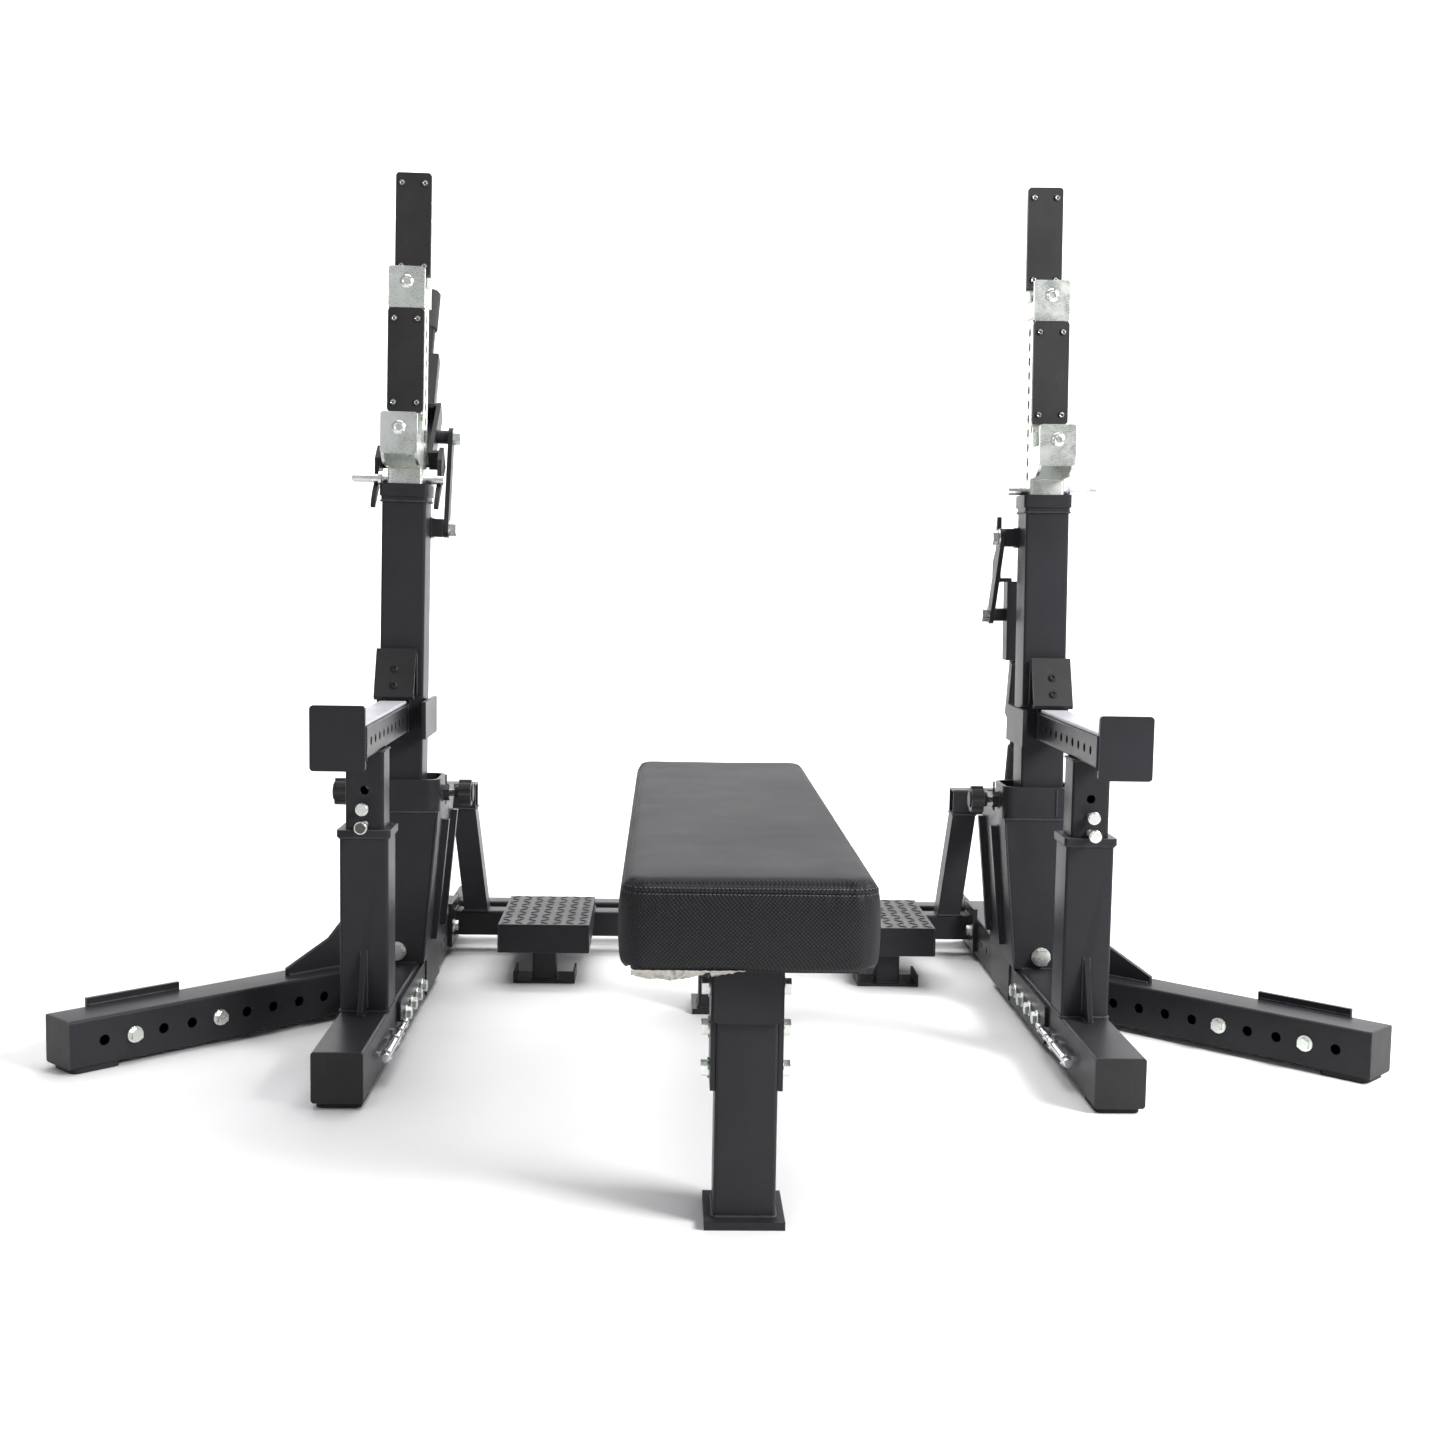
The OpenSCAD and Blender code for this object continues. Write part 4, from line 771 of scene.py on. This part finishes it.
def pad_blank():
    """Closed block with rounded corners and edges, hollowed for the board and remeshed finely."""
    bm = bmesh.new()
    bmesh.ops.create_cube(bm, size=1.0)
    for v in bm.verts:
        v.co = Vector((v.co.x * 2 * PX, v.co.y * (PY1 - PY0) + (PY0 + PY1) / 2,
                       v.co.z * (PZ1 - PZ0) + (PZ0 + PZ1) / 2))
    upright = [e for e in bm.edges if abs(e.verts[0].co.z - e.verts[1].co.z) > 0.05]
    bmesh.ops.bevel(bm, geom=upright, offset=PAD_R, segments=6, profile=0.5, affect="EDGES")
    top_edges = [e for e in bm.edges if all(v.co.z > PZ1 - 1e-5 for v in e.verts)]
    bmesh.ops.bevel(bm, geom=top_edges, offset=EDGE_R, segments=3, profile=0.5, affect="EDGES")
    low_edges = [e for e in bm.edges if all(v.co.z < PZ0 + 1e-5 for v in e.verts)]
    bmesh.ops.bevel(bm, geom=low_edges, offset=LOW_R, segments=3, profile=0.5, affect="EDGES")
    me = bpy.data.meshes.new("bench_pad_cover")
    bm.to_mesh(me)
    bm.free()
    obj = bpy.data.objects.new("bench_pad_cover", me)
    bpy.context.scene.collection.objects.link(obj)
    # recess that the board sits in, so that the cover wraps over its edge
    low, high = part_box("pad_board")
    cut_me = bpy.data.meshes.new("recess")
    bm = bmesh.new()
    bmesh.ops.create_cube(bm, size=1.0)
    for v in bm.verts:
        v.co = Vector(((high.x + BOARD_GAP) * (1 if v.co.x > 0 else -1),
                       MIDDLE + (high.y + BOARD_GAP if v.co.y > 0 else low.y - BOARD_GAP),
                       RECESS_TOP if v.co.z > 0 else RECESS_BOTTOM))
    bm.to_mesh(cut_me)
    bm.free()
    cutter = bpy.data.objects.new("recess", cut_me)
    bpy.context.scene.collection.objects.link(cutter)
    cut = obj.modifiers.new("recess", "BOOLEAN")
    cut.operation = "DIFFERENCE"
    cut.object = cutter
    remesh = obj.modifiers.new("remesh", "REMESH")
    remesh.mode = "VOXEL"
    remesh.voxel_size = VOXEL
    bpy.context.view_layer.objects.active = obj
    obj.select_set(True)
    bpy.ops.object.modifier_apply(modifier="recess")
    bpy.ops.object.modifier_apply(modifier="remesh")
    bpy.data.objects.remove(cutter)
    return obj


def edge_distance(x, y):
    """Distance inwards from the pad's outline, seen from above."""
    return min(PX - abs(x), y - PY0, PY1 - y)


def swell(obj, rest):
    """Where Cloth under pressure takes the cover's points, held at its seam and at the board."""
    pins = obj.vertex_groups.new(name="pins")
    held = [i for i, c in enumerate(rest) if abs(c.z - SEAM_Z) < 0.003 or c.z < HELD_Z]
    pins.add(held, 1.0, "REPLACE")
    cloth = obj.modifiers.new("cloth", "CLOTH")
    settings = cloth.settings
    settings.quality = 4
    settings.mass = 0.4
    settings.tension_stiffness = 30
    settings.compression_stiffness = 30
    settings.bending_stiffness = 4
    settings.use_pressure = True
    settings.uniform_pressure_force = 4.0
    settings.vertex_group_mass = "pins"
    settings.effector_weights.gravity = 0
    cloth.collision_settings.use_collision = False
    cloth.collision_settings.use_self_collision = False
    cloth.point_cache.frame_start = 1
    cloth.point_cache.frame_end = FRAMES
    scene = bpy.context.scene
    for f in range(1, FRAMES + 1):
        scene.frame_set(f)
    evaluated = obj.evaluated_get(bpy.context.evaluated_depsgraph_get())
    moved = [v.co.copy() for v in evaluated.data.vertices]
    obj.modifiers.remove(cloth)
    scene.frame_set(1)
    return moved


def seam_pull(a, e):
    """How far a point a, at e from the outline, is gathered outwards by the seam."""
    corner = math.hypot(max(0, PX - abs(a.x)), min(abs(a.y - PY0), abs(PY1 - a.y)))
    near = math.exp(-abs(a.z - SEAM_Z) / 0.012) * math.exp(-e / 0.02)
    if abs(a.x) < PX - 0.004:
        gather = math.sin(a.x * GATHERS + 5 * noise.noise(a * 14))
    else:
        gather = math.sin(a.y * GATHERS)
    pull = near * (0.0005 + 0.0013 * math.exp(-corner / 0.06)) * gather
    if abs(a.z - SEAM_Z) < 0.0045 and e < 0.02:
        pull -= 0.0012
    return pull


def sew_pad(obj):
    """Pressure in a cover held along its seam, with movement capped, then crown, puckers and walls."""
    me = obj.data
    rest = [v.co.copy() for v in me.vertices]
    moved = swell(obj, rest)
    for v, a, b in zip(me.vertices, rest, moved):
        d = b - a
        if d.length > MOST_SWELL:
            d = d.normalized() * MOST_SWELL
        c = a + d
        e = edge_distance(a.x, a.y)
        if a.z > PZ1 - 0.003 and e > CROWN_START:
            # firm crown: rises quickly inside the edge, then stays nearly level
            c.z = (a.z + CROWN * (1 - math.exp(-(e - CROWN_START) / CROWN_REACH))
                   + 0.0012 * noise.noise(Vector((a.x * 9, a.y * 6, 0.3))))
        pull = seam_pull(a, e)
        core = Vector((max(-PX + PAD_R, min(PX - PAD_R, a.x)),
                       max(PY0 + PAD_R, min(PY1 - PAD_R, a.y)), 0))
        out = Vector((a.x - core.x, a.y - core.y, 0))
        if out.length > 0.5 * PAD_R:
            # the foam pushes the walls out between the seam and the board
            fall = max(0.0, min(1.0, (SEAM_Z - a.z) / (SEAM_Z - PZ0)))
            c += out.normalized() * (pull + WALL_BULGE * math.sin(math.pi * fall) ** 0.8)
        c += Vector((0, 0, 1)) * pull * 0.4
        v.co = c


pad = pad_blank()
sew_pad(pad)
# level faces take the lighter copy of the vinyl and the rest the darker one: painted light on the top,
# painted shade on the sides
for m in ("vinyl_top_painted_light", "vinyl_side_painted_shade"):
    pad.data.materials.append(MAT[m])
for p in pad.data.polygons:
    p.use_smooth = True
    p.material_index = 0 if p.normal.z > 0.6 else 1
sub = pad.modifiers.new("smooth", "SUBSURF")
sub.levels = 1
sub.render_levels = 1

# the welt and the stitches are laid on the finished cover, before it moves to the frame's origin
cover = BVHTree.FromObject(pad, bpy.context.evaluated_depsgraph_get())
for v in pad.data.vertices:
    v.co.y -= MIDDLE
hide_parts("bench_pad")
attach(pad, "bench")


def outline(step):
    """Points round the pad, seen from above."""
    pts = []
    for sx, cy, a0 in ((1, PY1, 0), (-1, PY1, 90), (-1, PY0, 180), (1, PY0, 270)):
        corner_x = sx * (PX - PAD_R)
        corner_y = cy - PAD_R if cy > 0.1 else cy + PAD_R
        for i in range(9):
            a = math.radians(a0 + 90 * i / 8)
            pts.append(Vector((corner_x + PAD_R * math.cos(a), corner_y + PAD_R * math.sin(a), 0)))
    return resample(pts, step, True)


def on_side(p, z):
    """The cover's surface at a height, beside a point of the outline."""
    mid = Vector((0, min(max(p.y, PY0 + 0.14), PY1 - 0.14), z))
    q = Vector((p.x, p.y, z))
    d = (mid - q).normalized()
    hit = cover.ray_cast(q - d * 0.05, d)
    return hit[0] if hit[0] else q


STITCH, THREAD_R = 0.0034, 0.00062
# place along a stitch and thickness of its rings
STITCH_RINGS = ((-0.5, 0.3), (-0.36, 1.0), (0.36, 1.0), (0.5, 0.3))


def stitches(points, name):
    """A stitch between each point of a closed row and the next, as a short thread with thin ends."""
    vs, fs = [], []
    n = len(points)
    for i in range(n):
        a, b = points[i], points[(i + 1) % n]
        t = (b - a)
        if t.length < 1e-6:
            continue
        t = t.normalized()
        u = t.cross(Vector((0, 0, 1))).normalized()
        w = t.cross(u)
        mid = a.lerp(b, 0.5)
        first = len(vs)
        for s, k in STITCH_RINGS:
            for j in range(6):
                ang = 2 * math.pi * j / 6
                vs.append(mid + t * s * STITCH + (u * math.cos(ang) + w * math.sin(ang)) * THREAD_R * k)
        for r in range(3):
            for j in range(6):
                p0, p1 = first + r * 6, first + (r + 1) * 6
                fs.append((p0 + j, p0 + (j + 1) % 6, p1 + (j + 1) % 6, p1 + j))
        fs.append(tuple(first + j for j in range(6)))
        fs.append(tuple(first + 18 + j for j in reversed(range(6))))
    add_mesh(name, vs, fs, ["thread"], "bench")


WELT_STEP, STITCH_STEP = 0.004, 0.0048
welt_path = [on_side(p, SEAM_Z) for p in outline(WELT_STEP)]
vs, fs = bead_mesh([welt_path], 0.0013, 0.06, step=WELT_STEP, closed=True)
add_mesh("pad_welt", vs, fs, ["vinyl_side_painted_shade"], "bench")
for stitch_name, above in (("pad_stitch_upper", 0.0036), ("pad_stitch_lower", -0.0034)):
    stitches([on_side(p, SEAM_Z + above) for p in outline(STITCH_STEP)], stitch_name)


# the torn lining: its left end, width and depth, its top edge, thickness and grid
RAG_X, RAG_WIDTH, RAG_DEPTH = -0.140, 0.135, 0.0125
RAG_Y, RAG_TOP, RAG_THICK = -0.4788, 0.3225, 0.0007
RAG_COLS, RAG_ROWS = 90, 5


def rag_depth(t, x):
    """How far the torn edge hangs, at a share t of its width."""
    if t < 0.70:
        deep = RAG_DEPTH * math.sin(math.pi * min(1, t * 1.25 + 0.12)) ** 0.6
    else:
        deep = RAG_DEPTH * (1 - t) / 0.42
    tatters = (0.0022 * noise.noise(Vector((x * 70, 0, 1)))
               + 0.0012 * noise.noise(Vector((x * 260, 0, 4))))
    return max(0.001, deep + tatters)


def torn_lining():
    """Pale lining that hangs out under the front edge, on the left."""
    vs, fs = [], []
    for i in range(RAG_COLS + 1):
        t = i / RAG_COLS
        x = RAG_X + RAG_WIDTH * t
        deep = rag_depth(t, x)
        for j in range(RAG_ROWS + 1):
            q = j / RAG_ROWS
            y = RAG_Y + 0.0012 * noise.noise(Vector((x * 120, 2, q * 2))) + 0.006 * q * q
            z = RAG_TOP - deep * q + 0.0008 * noise.noise(Vector((x * 180, 5, q * 3)))
            vs.append(Vector((x, y, z)))
    column = RAG_ROWS + 1
    for i in range(RAG_COLS):
        for j in range(RAG_ROWS):
            a = i * column + j
            fs.append((a, a + column, a + column + 1, a + 1))
    rag = add_mesh("pad_lining", vs, fs, ["lining"], "bench")
    thick = rag.modifiers.new("thick", "SOLIDIFY")
    thick.thickness = RAG_THICK


torn_lining()


# ---------------------------------------------------------------- floor, light, camera
FLOOR_FRONT, FLOOR_BACK, FLOOR_HALF = -6.0, 3.2, 9
CURVE_R, WALL_TOP = 1.8, 6.0


def stage_floor():
    """Pale floor that curves up into a wall behind."""
    vs, fs = [], []
    profile = [(FLOOR_FRONT, 0.0), (FLOOR_BACK, 0.0)]
    for i in range(1, 13):
        a = math.radians(90 * i / 12)
        profile.append((FLOOR_BACK + CURVE_R * math.sin(a), CURVE_R - CURVE_R * math.cos(a)))
    profile.append((FLOOR_BACK + CURVE_R, WALL_TOP))
    for y, z in profile:
        vs += [Vector((-FLOOR_HALF, y, z)), Vector((FLOOR_HALF, y, z))]
    for i in range(len(profile) - 1):
        fs.append((2 * i, 2 * i + 1, 2 * i + 3, 2 * i + 2))
    m, nt, b, co = start("studio_floor")
    cloud = tex(nt, co, 2.0, 3.0, 0.5)
    col = ramp(nt, cloud, [(0.3, (0.86, 0.86, 0.865)), (0.7, (0.90, 0.90, 0.90))])
    nt.links.new(col, b.inputs["Base Color"])
    b.inputs["Roughness"].default_value = 0.7
    MAT["studio_floor"] = m
    add_mesh("studio_floor", vs, fs, ["studio_floor"], None)


stage_floor()


def area(name, loc, target, size, power, color=(1, 1, 1), size_y=None):
    """Soft rectangular light, aimed at a target."""
    data = bpy.data.lights.new(name, "AREA")
    data.energy = power
    data.color = color
    data.shape = "RECTANGLE"
    data.size = size
    data.size_y = size_y or size
    obj = bpy.data.objects.new(name, data)
    obj.location = Vector(loc) - Vector((0, MIDDLE, 0))
    d = Vector(target) - Vector(loc)
    obj.rotation_euler = d.to_track_quat("-Z", "Y").to_euler()
    bpy.context.scene.collection.objects.link(obj)


area("key", (2.7, -1.6, 2.3), (0.35, 0.5, 0.7), 1.3, 190, (1.0, 0.99, 0.99), 1.2)
area("fill", (-2.2, -2.6, 1.9), (-0.3, 0.5, 0.8), 1.4, 15, (0.96, 0.97, 1.0))
area("top", (0.0, 0.5, 4.2), (0.0, 0.6, 0.0), 3.0, 90)
area("wash", (0.0, 2.4, 3.8), (0.0, 5.0, 1.4), 4.5, 200, size_y=1.5)
area("rim", (2.6, 3.0, 2.2), (-0.2, 0.4, 0.8), 1.4, 30)
world = bpy.data.worlds.new("studio")
world.use_nodes = True
background = world.node_tree.nodes["Background"]
background.inputs["Color"].default_value = (0.93, 0.94, 0.96, 1)
background.inputs["Strength"].default_value = 0.33
bpy.context.scene.world = world

# the photo's camera: focal length in pixels of its 1445, angles in degrees, place in metres
FRAME_PX, SENSOR = 1445.0, 36.0
FOCAL_PX, PITCH, YAW, ROLL = 1760.9, 5.266, 1.869, 0.958
CAM_AT = Vector((-0.1035, -2.5052, 0.8017))


def photo_camera():
    """Camera at the photo's place and angle, with its roll."""
    data = bpy.data.cameras.new("photo_camera")
    data.sensor_width = SENSOR
    data.lens = SENSOR * FOCAL_PX / FRAME_PX
    data.clip_end = 60
    cam = bpy.data.objects.new("photo_camera", data)
    bpy.context.scene.collection.objects.link(cam)
    pitch, yaw, roll = (math.radians(v) for v in (PITCH, YAW, ROLL))
    forward = Vector((math.sin(yaw) * math.cos(pitch), math.cos(yaw) * math.cos(pitch),
                      -math.sin(pitch)))
    level = Vector((math.cos(yaw), -math.sin(yaw), 0))
    upright = level.cross(forward)
    right = level * math.cos(roll) + upright * math.sin(roll)
    up = upright * math.cos(roll) - level * math.sin(roll)
    basis = Matrix((right, up, -forward)).transposed().to_4x4()
    cam.matrix_world = Matrix.Translation(CAM_AT - Vector((0, MIDDLE, 0))) @ basis
    bpy.context.scene.camera = cam


photo_camera()
bpy.context.scene.view_settings.view_transform = "Standard"
